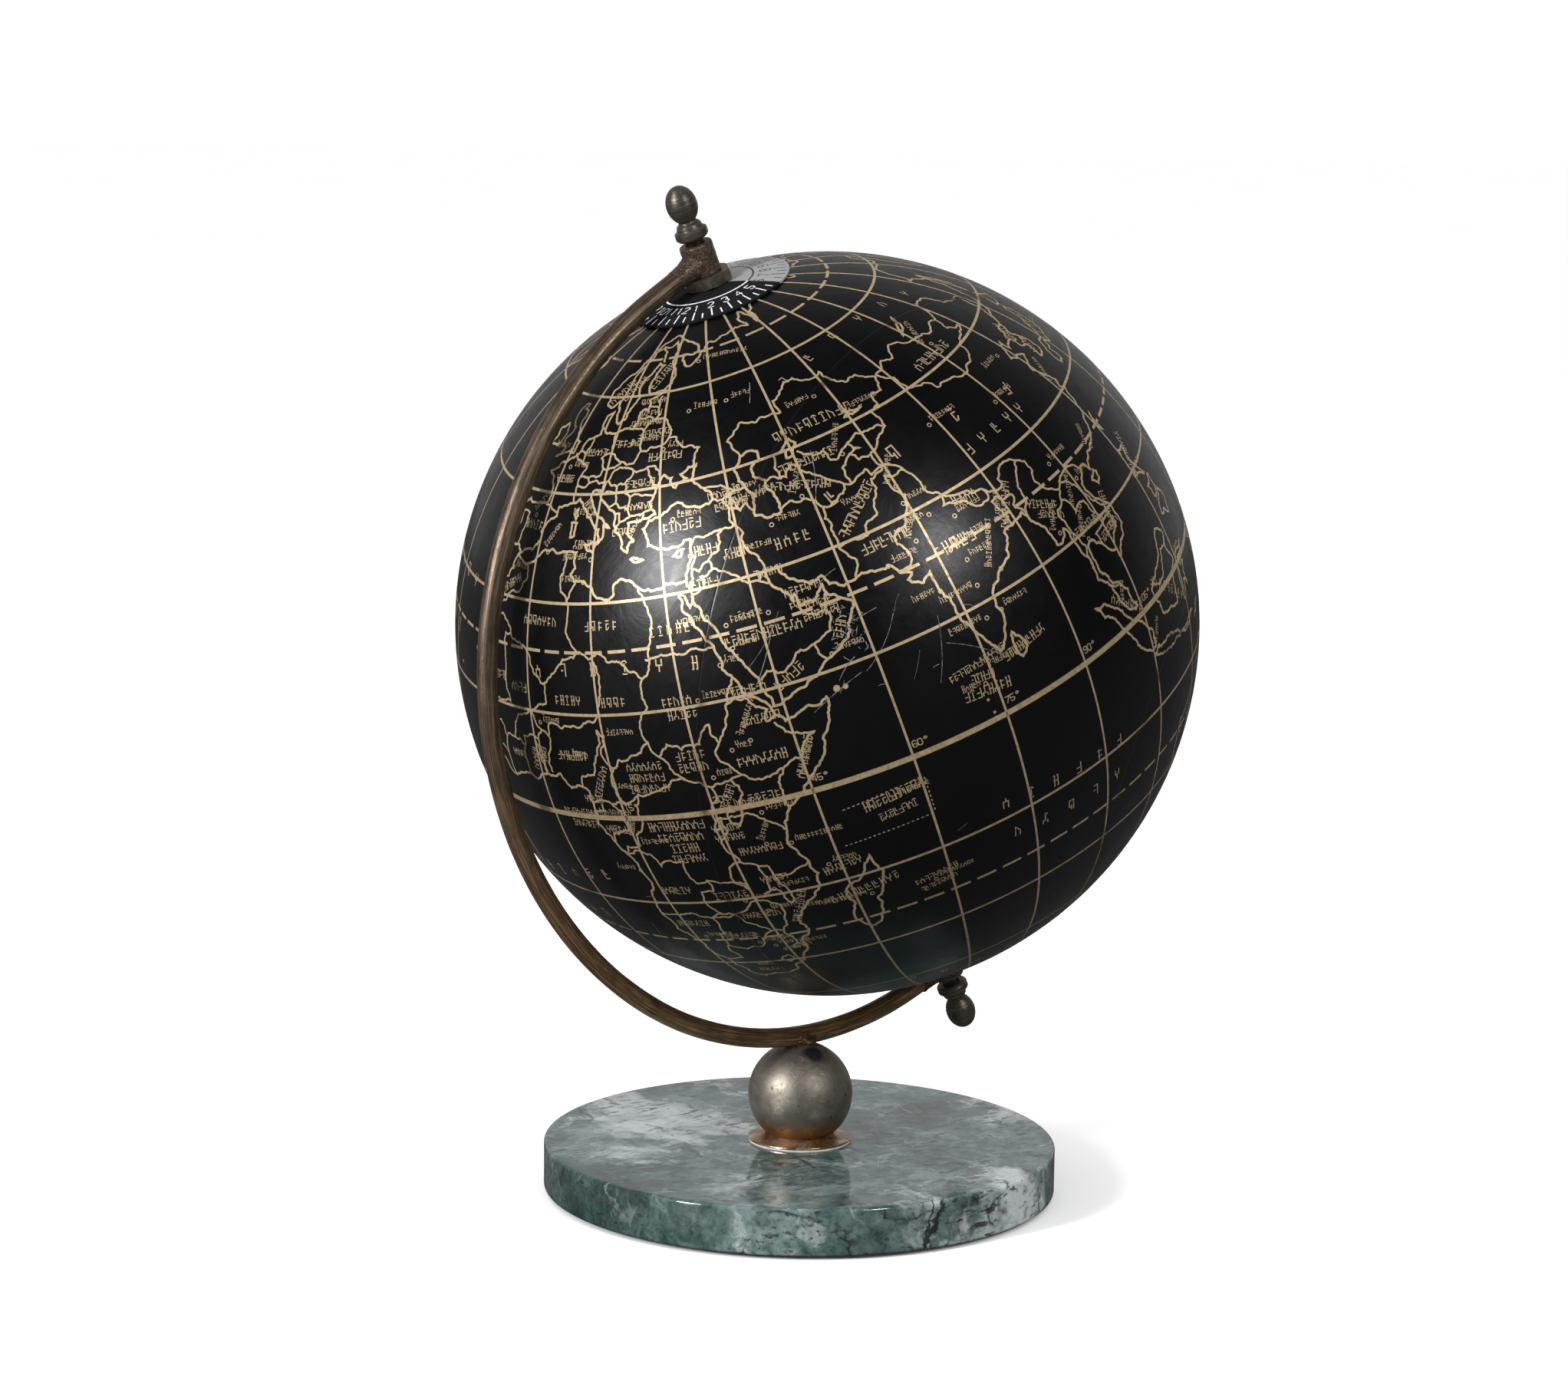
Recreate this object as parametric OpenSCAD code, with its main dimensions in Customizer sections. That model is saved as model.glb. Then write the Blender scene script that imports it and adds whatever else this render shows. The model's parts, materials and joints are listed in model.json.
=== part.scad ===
// Desktop globe on a tilted arm, with a turned ball pedestal and a round marble base.
// Millimetres. +Z is up. The origin is the centre of the underside that the globe rests on.
// +X points to the side where the south pole leans out, and the arm lies in the XZ plane.

/* [Base] */
// Diameter of the marble disc
base_d = 140; // [120:1:170]
// Thickness of the marble disc
base_h = 12.7; // [11:0.1:20]
// Radius of the polished round on the disc's edges
base_edge_r = 1.2; // [0.4:0.1:2]
// Diameter of the felt pad under the disc
felt_d = 130; // [100:1:132]
// Thickness of the felt pad
felt_t = 1; // [0.5:0.1:2]

/* [Pedestal] */
// Diameter of the pedestal ball
ball_d = 28.5; // [27:0.1:32]
// Height of the ball's centre above the marble
ball_lift = 13; // [12:0.1:15]
// Height of the ball's flat underside above the marble
ball_seat_h = 2; // [1.6:0.1:3]
// Diameter of the collar's flange
collar_d = 28.4; // [26:0.1:36]
// Thickness of the flange at its rim
collar_rim_t = 0.85; // [0.5:0.05:1.2]
// Thickness of the pale gasket under the flange
gasket_t = 0.35; // [0.2:0.05:0.6]

/* [Arm] */
// Diameter of the arm's round bar
arm_d = 5.4; // [4:0.1:6.5]
// Radius of the arm's long upper curve
upper_r = 110.5; // [109:0.1:114]
// Radius of the arm's tighter lower curve
lower_r = 95.5; // [93:0.1:100]
// Level distance from the globe's centre to the upper curve's centre
upper_shift = 1.5; // [0:0.1:3]
// Drop from the globe's centre to the upper curve's centre
upper_drop = 4.5; // [3.5:0.1:6]
// Where the two curves join, in degrees below level
join_angle = 58; // [50:1:66]
// Where the upper curve ends in a straight run, in degrees above level
straight_angle = 57; // [54:0.5:60]
// How deep the bar sits in the filed groove on top of the ball
groove_depth = 0.9; // [0.3:0.1:1.5]
// Radius of the braze metal that holds the bar to the ball
weld_r = 3.8; // [3.2:0.1:5]

/* [Axis fittings] */
// Tilt of the globe's axis from upright
axis_tilt = 24; // [22:0.5:26]
// Diameter of the two threaded pins that the globe turns on
pin_d = 5; // [4:0.1:5.5]
// Radial gap between a pin and a bush or dial that turns on it
running_gap = 0.05; // [0.02:0.01:0.1]
// Outer diameter of the barrels at the arm's ends
barrel_d = 8.8; // [8:0.1:10]
// Distance from the globe's centre to the near end of a barrel
barrel_start = 103.8; // [103.4:0.1:104.2]
// Length of a barrel
barrel_len = 8.4; // [8:0.1:10]
// Width of a hex nut across its corners
nut_corners = 14; // [11:0.1:15]

/* [Finials] */
// Diameter of the finial's bulb
bulb_d = 8.2; // [7:0.1:10]
// Length of the bulb
bulb_len = 10.4; // [9:0.1:12]
// Diameter of the finial's neck
neck_d = 4.5; // [4:0.1:5]
// Diameter of the finial's collar
finial_collar_d = 8.7; // [8:0.1:10]
// Height of the collar up to the neck
finial_collar_h = 4.9; // [4.5:0.1:6]

/* [Globe] */
// Diameter of the globe
globe_d = 200; // [196:0.5:202]
// Wall thickness of the two half shells
shell_t = 2.2; // [1.6:0.1:3]
// Height of the ring that joins the half shells inside
ring_h = 16; // [10:1:24]
// Diameter of the hour dial
dial_d = 42.4; // [36:0.2:46]
// Thickness of the hour dial
dial_t = 0.5; // [0.3:0.05:0.6]

/* [Hidden] */

$fn = 96;
sphere_fn = 180;     // segments round the globe and the base

// Heights of the stacked base pieces
base_top = felt_t + base_h;
collar_bottom = base_top + gasket_t;
ball_bottom = base_top + ball_seat_h;
ball_z = base_top + ball_lift;
ball_top = ball_z + ball_d / 2;

// Stud, washers and nut in the marble's counterbore
stud_r = 3;
stud_gap = 0.05;     // radial gap where a part only fits over a stud or a pin
base_hole_r = 3.5;
counterbore_r = 12;
counterbore_h = base_h * 0.6;
counterbore_top = felt_t + counterbore_h;
washer_r = 10.5;
washer_t = 1.2;
lock_washer_r = 5.2;
lock_washer_t = 1.3;
lock_washer_slit = 1;
base_nut_corners = 11.5;
base_nut_h = 3.4;
nut_top = counterbore_top - washer_t - lock_washer_t;
stud_end_gap = 0.5;  // space left between the stud's end and the felt
stud_in_ball = 15;

// The arm in its own plane: x is level, y is up, and the globe's centre is the origin
join_a = 180 + join_angle;
straight_a = 180 - straight_angle;
upper_c = [upper_shift, -upper_drop];
lower_c = upper_c + (upper_r - lower_r) * [cos(join_a), sin(join_a)];
axis_side = [cos(axis_tilt), sin(axis_tilt)];
south_dir = [sin(axis_tilt), -cos(axis_tilt)];
straight_start = upper_c + upper_r * [cos(straight_a), sin(straight_a)];
straight_dir = [sin(straight_a), -cos(straight_a)];
straight_len = -(straight_start * axis_side) / (straight_dir * axis_side);
lower_reach = lower_c * south_dir + sqrt(lower_r * lower_r - pow(lower_c * axis_side, 2));
lower_end = south_dir * lower_reach;
lower_end_a = 360 + atan2(lower_end[1] - lower_c[1], lower_end[0] - lower_c[0]);
joint_bulge = 0.05;  // how far the joints of the bar's runs stand proud
joint_gap = 0.1;     // gap left inside each joint, so that the runs don't touch end to end
joint_gap_a = joint_gap / upper_r * 180 / PI;

// The arm's lowest point stands over the base's centre, in the groove on the ball
globe_x = -lower_c[0];
globe_z = ball_top - groove_depth + arm_d / 2 + lower_r - lower_c[1];

// Pieces along the axis, as distances from the globe's centre
globe_r = globe_d / 2;
pin_r = pin_d / 2;
pin_inner_end = globe_r - 12;
turning_gap = 0.3;   // gap between faces that turn past each other
dial_r_in = globe_r + turning_gap;
dial_r_out = dial_r_in + dial_t;
nut_start = dial_r_out + 0.1;
top_finial_start = barrel_start + barrel_len + 1.5;
bottom_finial_start = barrel_start + barrel_len + 2.2;
pin_in_finial = 2.6;
finial_bore_h = pin_in_finial + 0.3;
thrust_t = 0.8;
thrust_r = 6;
thrust_start = globe_r + turning_gap;
bottom_nut_start = thrust_start + thrust_t;
bush_r = 5;
bush_gap = 0.05;     // radial gap between a bush and the shell's hole
bush_len = 11;
bush_flange_r = 9;
bush_flange_t = 1.6;
shell_r_in = globe_r - shell_t;
bush_flange_top = sqrt(pow(shell_r_in, 2) - pow(bush_flange_r, 2)) - 0.1;
bush_outer_end = sqrt(pow(globe_r, 2) - pow(bush_r, 2));

// The braze metal at a barrel is a short cone round the end of the arm
braze_big_r = 4;
braze_small_r = arm_d / 2 + 0.15;
braze_len = 9.5;
nut_clear_r = nut_corners / 2 + 0.3;

// Outline of the finial's collar, as [radius, height] points from its underside
collar_chamfer = 0.6;
collar_band = finial_collar_h * 0.45;
collar_shoulder_r = finial_collar_d / 2 - 1.1;
collar_shoulder_h = finial_collar_h * 0.8;
neck_r = neck_d / 2;
bulb_r = bulb_d / 2;
bulb_steps = 20;
bulb_from = asin(neck_r / bulb_r);
bulb_mid = finial_collar_h + bulb_len / 2 * cos(bulb_from);

// Put children on the globe's axis, with +Z towards the north pole
module on_axis() {
    translate([globe_x, 0, globe_z])
        rotate([0, -axis_tilt, 0])
            children();
}

// Put children on the globe's axis, with +Z towards the south pole
module on_south_axis() {
    on_axis()
        rotate([180, 0, 0])
            children();
}

// Ring or disc from a height, with a hole when inner_r is more than 0
module ring(outer_r, inner_r, height, from = 0, fn = $fn) {
    translate([0, 0, from])
        difference() {
            cylinder(r = outer_r, h = height, $fn = fn);
            translate([0, 0, -1])
                cylinder(r = inner_r, h = height + 2, $fn = fn);
        }
}

// Hex nut with chamfered corners
module hex_nut(corners, height, hole_r, from = 0) {
    corner_r = corners / 2;
    chamfer = corner_r * 0.1;
    translate([0, 0, from])
        difference() {
            intersection() {
                cylinder(r = corner_r, h = height, $fn = 6);
                rotate_extrude()
                    polygon([
                        [0, 0],
                        [corner_r - chamfer, 0],
                        [corner_r, chamfer * 0.6],
                        [corner_r, height - chamfer * 0.6],
                        [corner_r - chamfer, height],
                        [0, height]
                    ]);
            }
            translate([0, 0, -1])
                cylinder(r = hole_r, h = height + 2);
        }
}

// Part of a ring of round bar in the XZ plane, between two angles about a centre
module bar_arc(centre, radius, from_a, to_a) {
    translate([centre[0], 0, centre[1]])
        rotate([90, 0, 0])
            rotate([0, 0, from_a])
                rotate_extrude(angle = to_a - from_a, $fn = sphere_fn)
                    translate([radius, 0])
                        circle(r = arm_d / 2, $fn = 48);
}

// Slightly fuller spot that makes one solid of two runs of bar, at a point on the upper curve
module bar_joint(angle) {
    translate([upper_c[0] + upper_r * cos(angle), 0, upper_c[1] + upper_r * sin(angle)])
        sphere(r = arm_d / 2 + joint_bulge, $fn = 48);
}

// The bar's straight run into the top barrel, along +Z from where the curve ends
module along_straight(from = 0) {
    translate([straight_start[0], 0, straight_start[1]])
        rotate([0, atan2(straight_dir[0], straight_dir[1]), 0])
            translate([0, 0, from])
                children();
}

// The whole bar before its ends are cut to fit the barrels
module arm_bar() {
    translate([globe_x, 0, globe_z])
        union() {
            bar_arc(upper_c, upper_r, straight_a + joint_gap_a, join_a - joint_gap_a);
            bar_arc(lower_c, lower_r, join_a + joint_gap_a, lower_end_a);
            along_straight(joint_gap)
                cylinder(r = arm_d / 2, h = straight_len - joint_gap, $fn = 48);
            bar_joint(straight_a);
            bar_joint(join_a);
        }
}

// Room that a barrel and the nut beside it take out of the bar and its braze metal
module fittings_room() {
    translate([0, 0, globe_r])
        cylinder(r = nut_clear_r, h = barrel_start - globe_r);
    translate([0, 0, globe_r])
        cylinder(r = barrel_d / 2, h = barrel_start + barrel_len + 0.02 - globe_r);
}

module both_fittings_room() {
    on_axis()
        fittings_room();
    on_south_axis()
        fittings_room();
}

// Threaded pin from inside the globe out into the finial
module pin(finial_start) {
    translate([0, 0, pin_inner_end])
        cylinder(r = pin_r, h = finial_start + pin_in_finial - pin_inner_end);
}

// Turned finial: chamfered collar, neck and acorn bulb, with a blind tapped hole
module finial(start) {
    outline = concat(
        [
            [0, 0],
            [finial_collar_d / 2 - collar_chamfer, 0],
            [finial_collar_d / 2, collar_chamfer],
            [finial_collar_d / 2, collar_band],
            [collar_shoulder_r, collar_shoulder_h]
        ],
        [
            for (i = [0 : bulb_steps])
                let (a = bulb_from + (180 - bulb_from) * i / bulb_steps)
                [bulb_r * sin(a), bulb_mid - bulb_len / 2 * cos(a)]
        ]
    );
    translate([0, 0, start])
        difference() {
            rotate_extrude()
                polygon(outline);
            translate([0, 0, -1])
                cylinder(r = pin_r + stud_gap, h = finial_bore_h + 1);
        }
}

// Flanged bush glued into a pole of the globe
module bush() {
    difference() {
        union() {
            translate([0, 0, bush_outer_end - bush_len])
                cylinder(r = bush_r, h = bush_len);
            translate([0, 0, bush_flange_top - bush_flange_t])
                cylinder(r = bush_flange_r, h = bush_flange_t);
        }
        translate([0, 0, bush_outer_end - bush_len - 1])
            cylinder(r = pin_r + running_gap, h = bush_len + 2);
    }
}

// Half of the globe's shell, with +Z towards its pole
module half_shell() {
    difference() {
        sphere(r = globe_r, $fn = sphere_fn);
        sphere(r = shell_r_in, $fn = sphere_fn);
        translate([0, 0, -globe_r - 1])
            cylinder(r = globe_r + 1, h = globe_r + 1, $fn = sphere_fn);
        cylinder(r = bush_r + bush_gap, h = globe_r + 1);
    }
}

// Short cone of braze metal round the bar, with its big end on the barrel's axis
module braze_cone() {
    cylinder(r1 = braze_big_r, r2 = braze_small_r, h = braze_len);
}

module felt_pad() {
    color("darkolivegreen")
        cylinder(r = felt_d / 2, h = felt_t, $fn = sphere_fn);
}

module marble_base() {
    color("cadetblue")
        difference() {
            rotate_extrude($fn = sphere_fn)
                union() {
                    translate([0, felt_t])
                        square([base_d / 2 - base_edge_r, base_h]);
                    translate([0, felt_t + base_edge_r])
                        square([base_d / 2, base_h - 2 * base_edge_r]);
                    translate([base_d / 2 - base_edge_r, felt_t + base_edge_r])
                        circle(r = base_edge_r, $fn = 32);
                    translate([base_d / 2 - base_edge_r, base_top - base_edge_r])
                        circle(r = base_edge_r, $fn = 32);
                }
            translate([0, 0, felt_t - 1])
                cylinder(r = counterbore_r, h = counterbore_h + 1);
            cylinder(r = base_hole_r, h = base_top + 1);
        }
}

module base_stud() {
    stud_from = felt_t + stud_end_gap;
    color("silver")
        translate([0, 0, stud_from])
            cylinder(r = stud_r, h = ball_bottom + stud_in_ball - stud_from);
}

module base_washer() {
    color("silver")
        ring(washer_r, stud_r + 0.3, washer_t, counterbore_top - washer_t);
}

module lock_washer() {
    color("dimgray")
        difference() {
            ring(lock_washer_r, stud_r + 0.15, lock_washer_t, nut_top);
            translate([0, -lock_washer_slit / 2, nut_top - 1])
                cube([lock_washer_r + 1, lock_washer_slit, lock_washer_t + 2]);
        }
}

module base_nut() {
    color("silver")
        hex_nut(base_nut_corners, base_nut_h, stud_r + stud_gap, nut_top - base_nut_h);
}

module flange_gasket() {
    color("gainsboro")
        ring(collar_d / 2 - 0.15, base_hole_r + 0.5, gasket_t, base_top);
}

module ball_collar() {
    seat_r = sqrt(pow(ball_d / 2, 2) - pow(ball_lift - ball_seat_h, 2)) + 0.3;
    hub_h = ball_seat_h - gasket_t;
    cove = hub_h - collar_rim_t;
    cove_steps = 8;
    outline = concat(
        [
            [stud_r + stud_gap, 0],
            [collar_d / 2 - 0.2, 0],
            [collar_d / 2, 0.2],
            [collar_d / 2, collar_rim_t - 0.2],
            [collar_d / 2 - 0.25, collar_rim_t]
        ],
        [
            for (i = [0 : cove_steps])
                let (a = 270 - 90 * i / cove_steps)
                [seat_r + cove + cove * cos(a), hub_h + cove * sin(a)]
        ],
        [[stud_r + stud_gap, hub_h]]
    );
    color("peru")
        translate([0, 0, collar_bottom])
            rotate_extrude($fn = sphere_fn)
                polygon(outline);
}

module pedestal_ball() {
    color("darkgray")
        difference() {
            translate([0, 0, ball_z])
                sphere(r = ball_d / 2);
            translate([0, 0, ball_bottom - ball_d])
                cylinder(r = ball_d, h = ball_d);
            translate([0, 0, ball_bottom - 1])
                cylinder(r = stud_r + stud_gap, h = stud_in_ball + 1.5);
            arm_bar();
        }
}

module arm_weld() {
    color("sienna")
        difference() {
            translate([0, 0, ball_top + 0.2])
                sphere(r = weld_r, $fn = 48);
            translate([0, 0, ball_z])
                sphere(r = ball_d / 2);
            arm_bar();
        }
}

module meridian_arm() {
    color([0.33, 0.26, 0.2])
        difference() {
            arm_bar();
            both_fittings_room();
        }
}

module top_barrel() {
    color([0.3, 0.23, 0.18])
        on_axis()
            ring(barrel_d / 2, pin_r + stud_gap, barrel_len, barrel_start);
}

module bottom_barrel() {
    color([0.3, 0.23, 0.18])
        on_south_axis()
            ring(barrel_d / 2, pin_r + stud_gap, barrel_len, barrel_start);
}

module top_braze() {
    color("saddlebrown")
        difference() {
            translate([globe_x, 0, globe_z])
                along_straight(straight_len)
                    rotate([180, 0, 0])
                        braze_cone();
            both_fittings_room();
            arm_bar();
        }
}

module bottom_braze() {
    // The cone points back along the bar's tangent where it meets the axis
    color("saddlebrown")
        difference() {
            translate([globe_x + lower_end[0], 0, globe_z + lower_end[1]])
                rotate([0, -lower_end_a, 0])
                    rotate([180, 0, 0])
                        braze_cone();
            both_fittings_room();
            arm_bar();
        }
}

module top_pin() {
    color("silver")
        on_axis()
            pin(top_finial_start);
}

module bottom_pin() {
    color("silver")
        on_south_axis()
            pin(bottom_finial_start);
}

module top_finial() {
    color([0.35, 0.32, 0.27])
        on_axis()
            finial(top_finial_start);
}

module bottom_finial() {
    color([0.35, 0.32, 0.27])
        on_south_axis()
            finial(bottom_finial_start);
}

module top_hex_nut() {
    color([0.45, 0.42, 0.36])
        on_axis()
            hex_nut(nut_corners, barrel_start - nut_start, pin_r + stud_gap, nut_start);
}

module bottom_hex_nut() {
    color([0.45, 0.42, 0.36])
        on_south_axis()
            hex_nut(nut_corners, barrel_start - bottom_nut_start, pin_r + stud_gap, bottom_nut_start);
}

module thrust_washer() {
    color("ivory")
        on_south_axis()
            ring(thrust_r, pin_r + stud_gap, thrust_t, thrust_start);
}

module hour_dial() {
    color("gray")
        on_axis()
            difference() {
                intersection() {
                    sphere(r = dial_r_out, $fn = sphere_fn);
                    cylinder(r = dial_d / 2, h = dial_r_out + 1, $fn = sphere_fn);
                }
                sphere(r = dial_r_in, $fn = sphere_fn);
                cylinder(r = pin_r + running_gap, h = dial_r_out + 1);
            }
}

module north_hemisphere() {
    color([0.08, 0.08, 0.09])
        on_axis()
            half_shell();
}

module south_hemisphere() {
    color([0.08, 0.08, 0.09])
        on_south_axis()
            half_shell();
}

module equator_ring() {
    color("tan")
        on_axis()
            difference() {
                intersection() {
                    sphere(r = shell_r_in - 0.02, $fn = sphere_fn);
                    translate([0, 0, -ring_h / 2])
                        cylinder(r = globe_r, h = ring_h, $fn = sphere_fn);
                }
                translate([0, 0, -ring_h])
                    cylinder(r = shell_r_in - 2.5, h = 2 * ring_h, $fn = sphere_fn);
            }
}

module north_bush() {
    color("goldenrod")
        on_axis()
            bush();
}

module south_bush() {
    color("goldenrod")
        on_south_axis()
            bush();
}

felt_pad();
marble_base();
base_stud();
base_washer();
lock_washer();
base_nut();
flange_gasket();
ball_collar();
pedestal_ball();
arm_weld();
meridian_arm();
top_barrel();
bottom_barrel();
top_braze();
bottom_braze();
top_pin();
bottom_pin();
top_finial();
bottom_finial();
top_hex_nut();
bottom_hex_nut();
thrust_washer();
hour_dial();
north_hemisphere();
south_hemisphere();
equator_ring();
north_bush();
south_bush();
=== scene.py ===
"""Looks of the desktop globe on stand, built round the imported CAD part. All lengths in the helpers are in mm."""

import json
import math
import random

import bmesh
import bpy
from mathutils import Matrix, Vector, noise


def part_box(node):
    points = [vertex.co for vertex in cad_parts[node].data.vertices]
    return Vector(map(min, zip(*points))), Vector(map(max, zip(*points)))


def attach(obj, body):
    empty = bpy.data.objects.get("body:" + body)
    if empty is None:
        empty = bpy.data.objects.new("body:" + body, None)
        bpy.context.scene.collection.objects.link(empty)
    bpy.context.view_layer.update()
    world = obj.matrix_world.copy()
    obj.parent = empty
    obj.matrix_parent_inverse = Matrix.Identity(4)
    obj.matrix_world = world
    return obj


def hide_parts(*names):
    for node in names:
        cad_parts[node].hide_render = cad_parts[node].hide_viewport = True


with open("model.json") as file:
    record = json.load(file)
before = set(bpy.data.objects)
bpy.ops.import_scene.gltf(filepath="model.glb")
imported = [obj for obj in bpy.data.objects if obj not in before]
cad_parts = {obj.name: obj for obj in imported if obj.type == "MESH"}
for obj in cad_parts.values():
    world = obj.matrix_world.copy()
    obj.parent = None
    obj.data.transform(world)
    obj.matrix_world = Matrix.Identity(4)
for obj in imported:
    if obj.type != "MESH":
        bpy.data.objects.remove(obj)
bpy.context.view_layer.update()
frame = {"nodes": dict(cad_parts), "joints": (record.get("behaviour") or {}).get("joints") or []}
NODES = frame["nodes"]
MM = 0.001

# The globe's own frame: its centre is the origin, +Z points to the north pole along the spin axis, and +Y is the part's +Y
SPIN = next(j for j in frame["joints"] if j["name"] == "globe_spin")
CENTRE = Vector(SPIN["pos_m"])
AXIS = Vector(SPIN["axis"]).normalized()
ON_AXIS = Matrix(
    (
        (AXIS.z, 0, AXIS.x, CENTRE.x),
        (0, 1, 0, CENTRE.y),
        (-AXIS.x, 0, AXIS.z, CENTRE.z),
        (0, 0, 0, 1),
    )
)
ON_SOUTH_AXIS = ON_AXIS @ Matrix.Rotation(math.pi, 4, "X")
UPRIGHT = Matrix.Identity(4)
SPIN_TILT = math.degrees(math.atan2(-AXIS.x, AXIS.z))
GLOBE_R = 100.0


# ---------------------------------------------------------------- node trees


class Look:
    """A material and short ways to add nodes to it."""

    def __init__(self, name, **sockets):
        self.material = bpy.data.materials.new(name)
        self.material.use_nodes = True
        self.tree = self.material.node_tree
        self.shader = self.tree.nodes["Principled BSDF"]
        self.bumps = None
        for socket, value in sockets.items():
            self.shader.inputs[socket.replace("_", " ")].default_value = value

    def add(self, kind, ins=(), **settings):
        node = self.tree.nodes.new(kind)
        for key, value in settings.items():
            setattr(node, key, value)
        for socket, value in dict(ins).items():
            self.put(node.inputs[socket], value)
        return node

    def put(self, socket, value):
        if isinstance(value, bpy.types.NodeSocket):
            self.tree.links.new(value, socket)
        elif value is not None:
            socket.default_value = value

    def on_axis(self):
        """Coordinates in mm in the globe's own frame."""
        turned = self.where(turn=(0, -SPIN_TILT, 0))
        shift = ON_AXIS.to_3x3().transposed() @ CENTRE / MM
        node = self.add("ShaderNodeVectorMath", operation="SUBTRACT")
        self.put(node.inputs[0], turned)
        node.inputs[1].default_value = shift
        return node.outputs[0]

    def where(self, scale=(1, 1, 1), turn=(0, 0, 0), attribute=None):
        """Coordinates in mm: the object's own, or those kept in a mesh attribute."""
        if attribute:
            source = self.add("ShaderNodeAttribute", attribute_name=attribute).outputs["Vector"]
            unit = 1
        else:
            source = self.add("ShaderNodeTexCoord").outputs["Object"]
            unit = 1000
        node = self.add(
            "ShaderNodeMapping",
            {"Vector": source, "Scale": [s * unit for s in scale], "Rotation": [math.radians(a) for a in turn]},
        )
        return node.outputs["Vector"]

    def noise(self, at, size, detail=4, rough=0.55, warp=0.0, kind="Fac"):
        """Cloudy noise whose blotches are about size mm across."""
        node = self.add(
            "ShaderNodeTexNoise",
            {"Vector": at, "Scale": 1 / size, "Detail": detail, "Roughness": rough, "Distortion": warp},
        )
        return node.outputs[kind]

    def cells(self, at, size, feature="F1", out="Distance"):
        node = self.add("ShaderNodeTexVoronoi", {"Vector": at, "Scale": 1 / size}, feature=feature)
        return node.outputs[out]

    def ramp(self, value, *stops, ease=False):
        """Colours or levels against value, from (position, colour or level) stops."""
        node = self.add("ShaderNodeValToRGB", {"Fac": value})
        band = node.color_ramp
        band.interpolation = "EASE" if ease else "LINEAR"
        while len(band.elements) < len(stops):
            band.elements.new(0.5)
        for element, (place, colour) in zip(band.elements, stops):
            element.position = place
            if isinstance(colour, (int, float)):
                colour = (colour, colour, colour)
            element.color = (*colour, 1)
        return node.outputs["Color"]

    def math(self, how, a, b=0.0, clamp=False):
        node = self.add("ShaderNodeMath", operation=how, use_clamp=clamp)
        self.put(node.inputs[0], a)
        self.put(node.inputs[1], b)
        return node.outputs[0]

    def mix(self, share, a, b, how="MIX"):
        node = self.add("ShaderNodeMix", data_type="RGBA", blend_type=how)
        for socket, value in ((node.inputs[0], share), (node.inputs[6], a), (node.inputs[7], b)):
            if isinstance(value, tuple):
                value = (*value, 1)
            self.put(socket, value)
        return node.outputs[2]

    def warp(self, at, by, amount):
        """at moved about by a noise colour, by up to amount."""
        offset = self.add("ShaderNodeVectorMath", operation="MULTIPLY_ADD")
        self.put(offset.inputs[0], by)
        offset.inputs[1].default_value = (amount,) * 3
        self.put(offset.inputs[2], at)
        return offset.outputs[0]

    def split(self, at):
        return self.add("ShaderNodeSeparateXYZ", {"Vector": at}).outputs

    def colour(self, value):
        self.put(self.shader.inputs["Base Color"], value)

    def rough(self, value):
        self.put(self.shader.inputs["Roughness"], value)

    def metal(self, value):
        self.put(self.shader.inputs["Metallic"], value)

    def bump(self, height, depth, strength=1.0):
        """Adds relief of depth mm; several reliefs stack."""
        node = self.add(
            "ShaderNodeBump", {"Height": height, "Distance": depth * MM, "Strength": strength, "Normal": self.bumps}
        )
        self.bumps = node.outputs["Normal"]
        self.put(self.shader.inputs["Normal"], self.bumps)


# ---------------------------------------------------------------- meshes


def show(name, mesh, matrix, body, looks, replaces=()):
    """Puts a mesh in the scene as a piece that rides on a CAD body."""
    mesh.transform(matrix)
    piece = bpy.data.objects.new(name, mesh)
    bpy.context.scene.collection.objects.link(piece)
    for look in looks if isinstance(looks, (list, tuple)) else [looks]:
        mesh.materials.append(look)
    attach(piece, body)
    if replaces:
        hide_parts(*replaces)
    return piece


def mesh_of(name, points, faces, crease=None, extra=None, material_of=None):
    """A smooth-shaded mesh from points in mm. Edges sharper than crease degrees stay sharp."""
    mesh = bpy.data.meshes.new(name)
    mesh.from_pydata([[c * MM for c in p] for p in points], [], faces)
    mesh.validate()
    mesh.polygons.foreach_set("use_smooth", [True] * len(mesh.polygons))
    if extra:
        layer = mesh.attributes.new("along", "FLOAT_VECTOR", "POINT")
        layer.data.foreach_set("vector", [c for p in extra for c in p])
    if material_of:
        mesh.polygons.foreach_set("material_index", material_of)
    work = bmesh.new()
    work.from_mesh(mesh)
    bmesh.ops.recalc_face_normals(work, faces=work.faces)
    if crease is not None:
        for edge in work.edges:
            if len(edge.link_faces) == 2 and edge.calc_face_angle(0) > math.radians(crease):
                edge.smooth = False
    work.to_mesh(mesh)
    work.free()
    mesh.update()
    return mesh


def finer(outline, step):
    """The outline with no run longer than step."""
    out = [outline[0]]
    for a, b in zip(outline, outline[1:]):
        parts = max(1, math.ceil(math.dist(a, b) / step))
        out += [tuple(x + (y - x) * i / parts for x, y in zip(a, b)) for i in range(1, parts + 1)]
    return out


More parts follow.
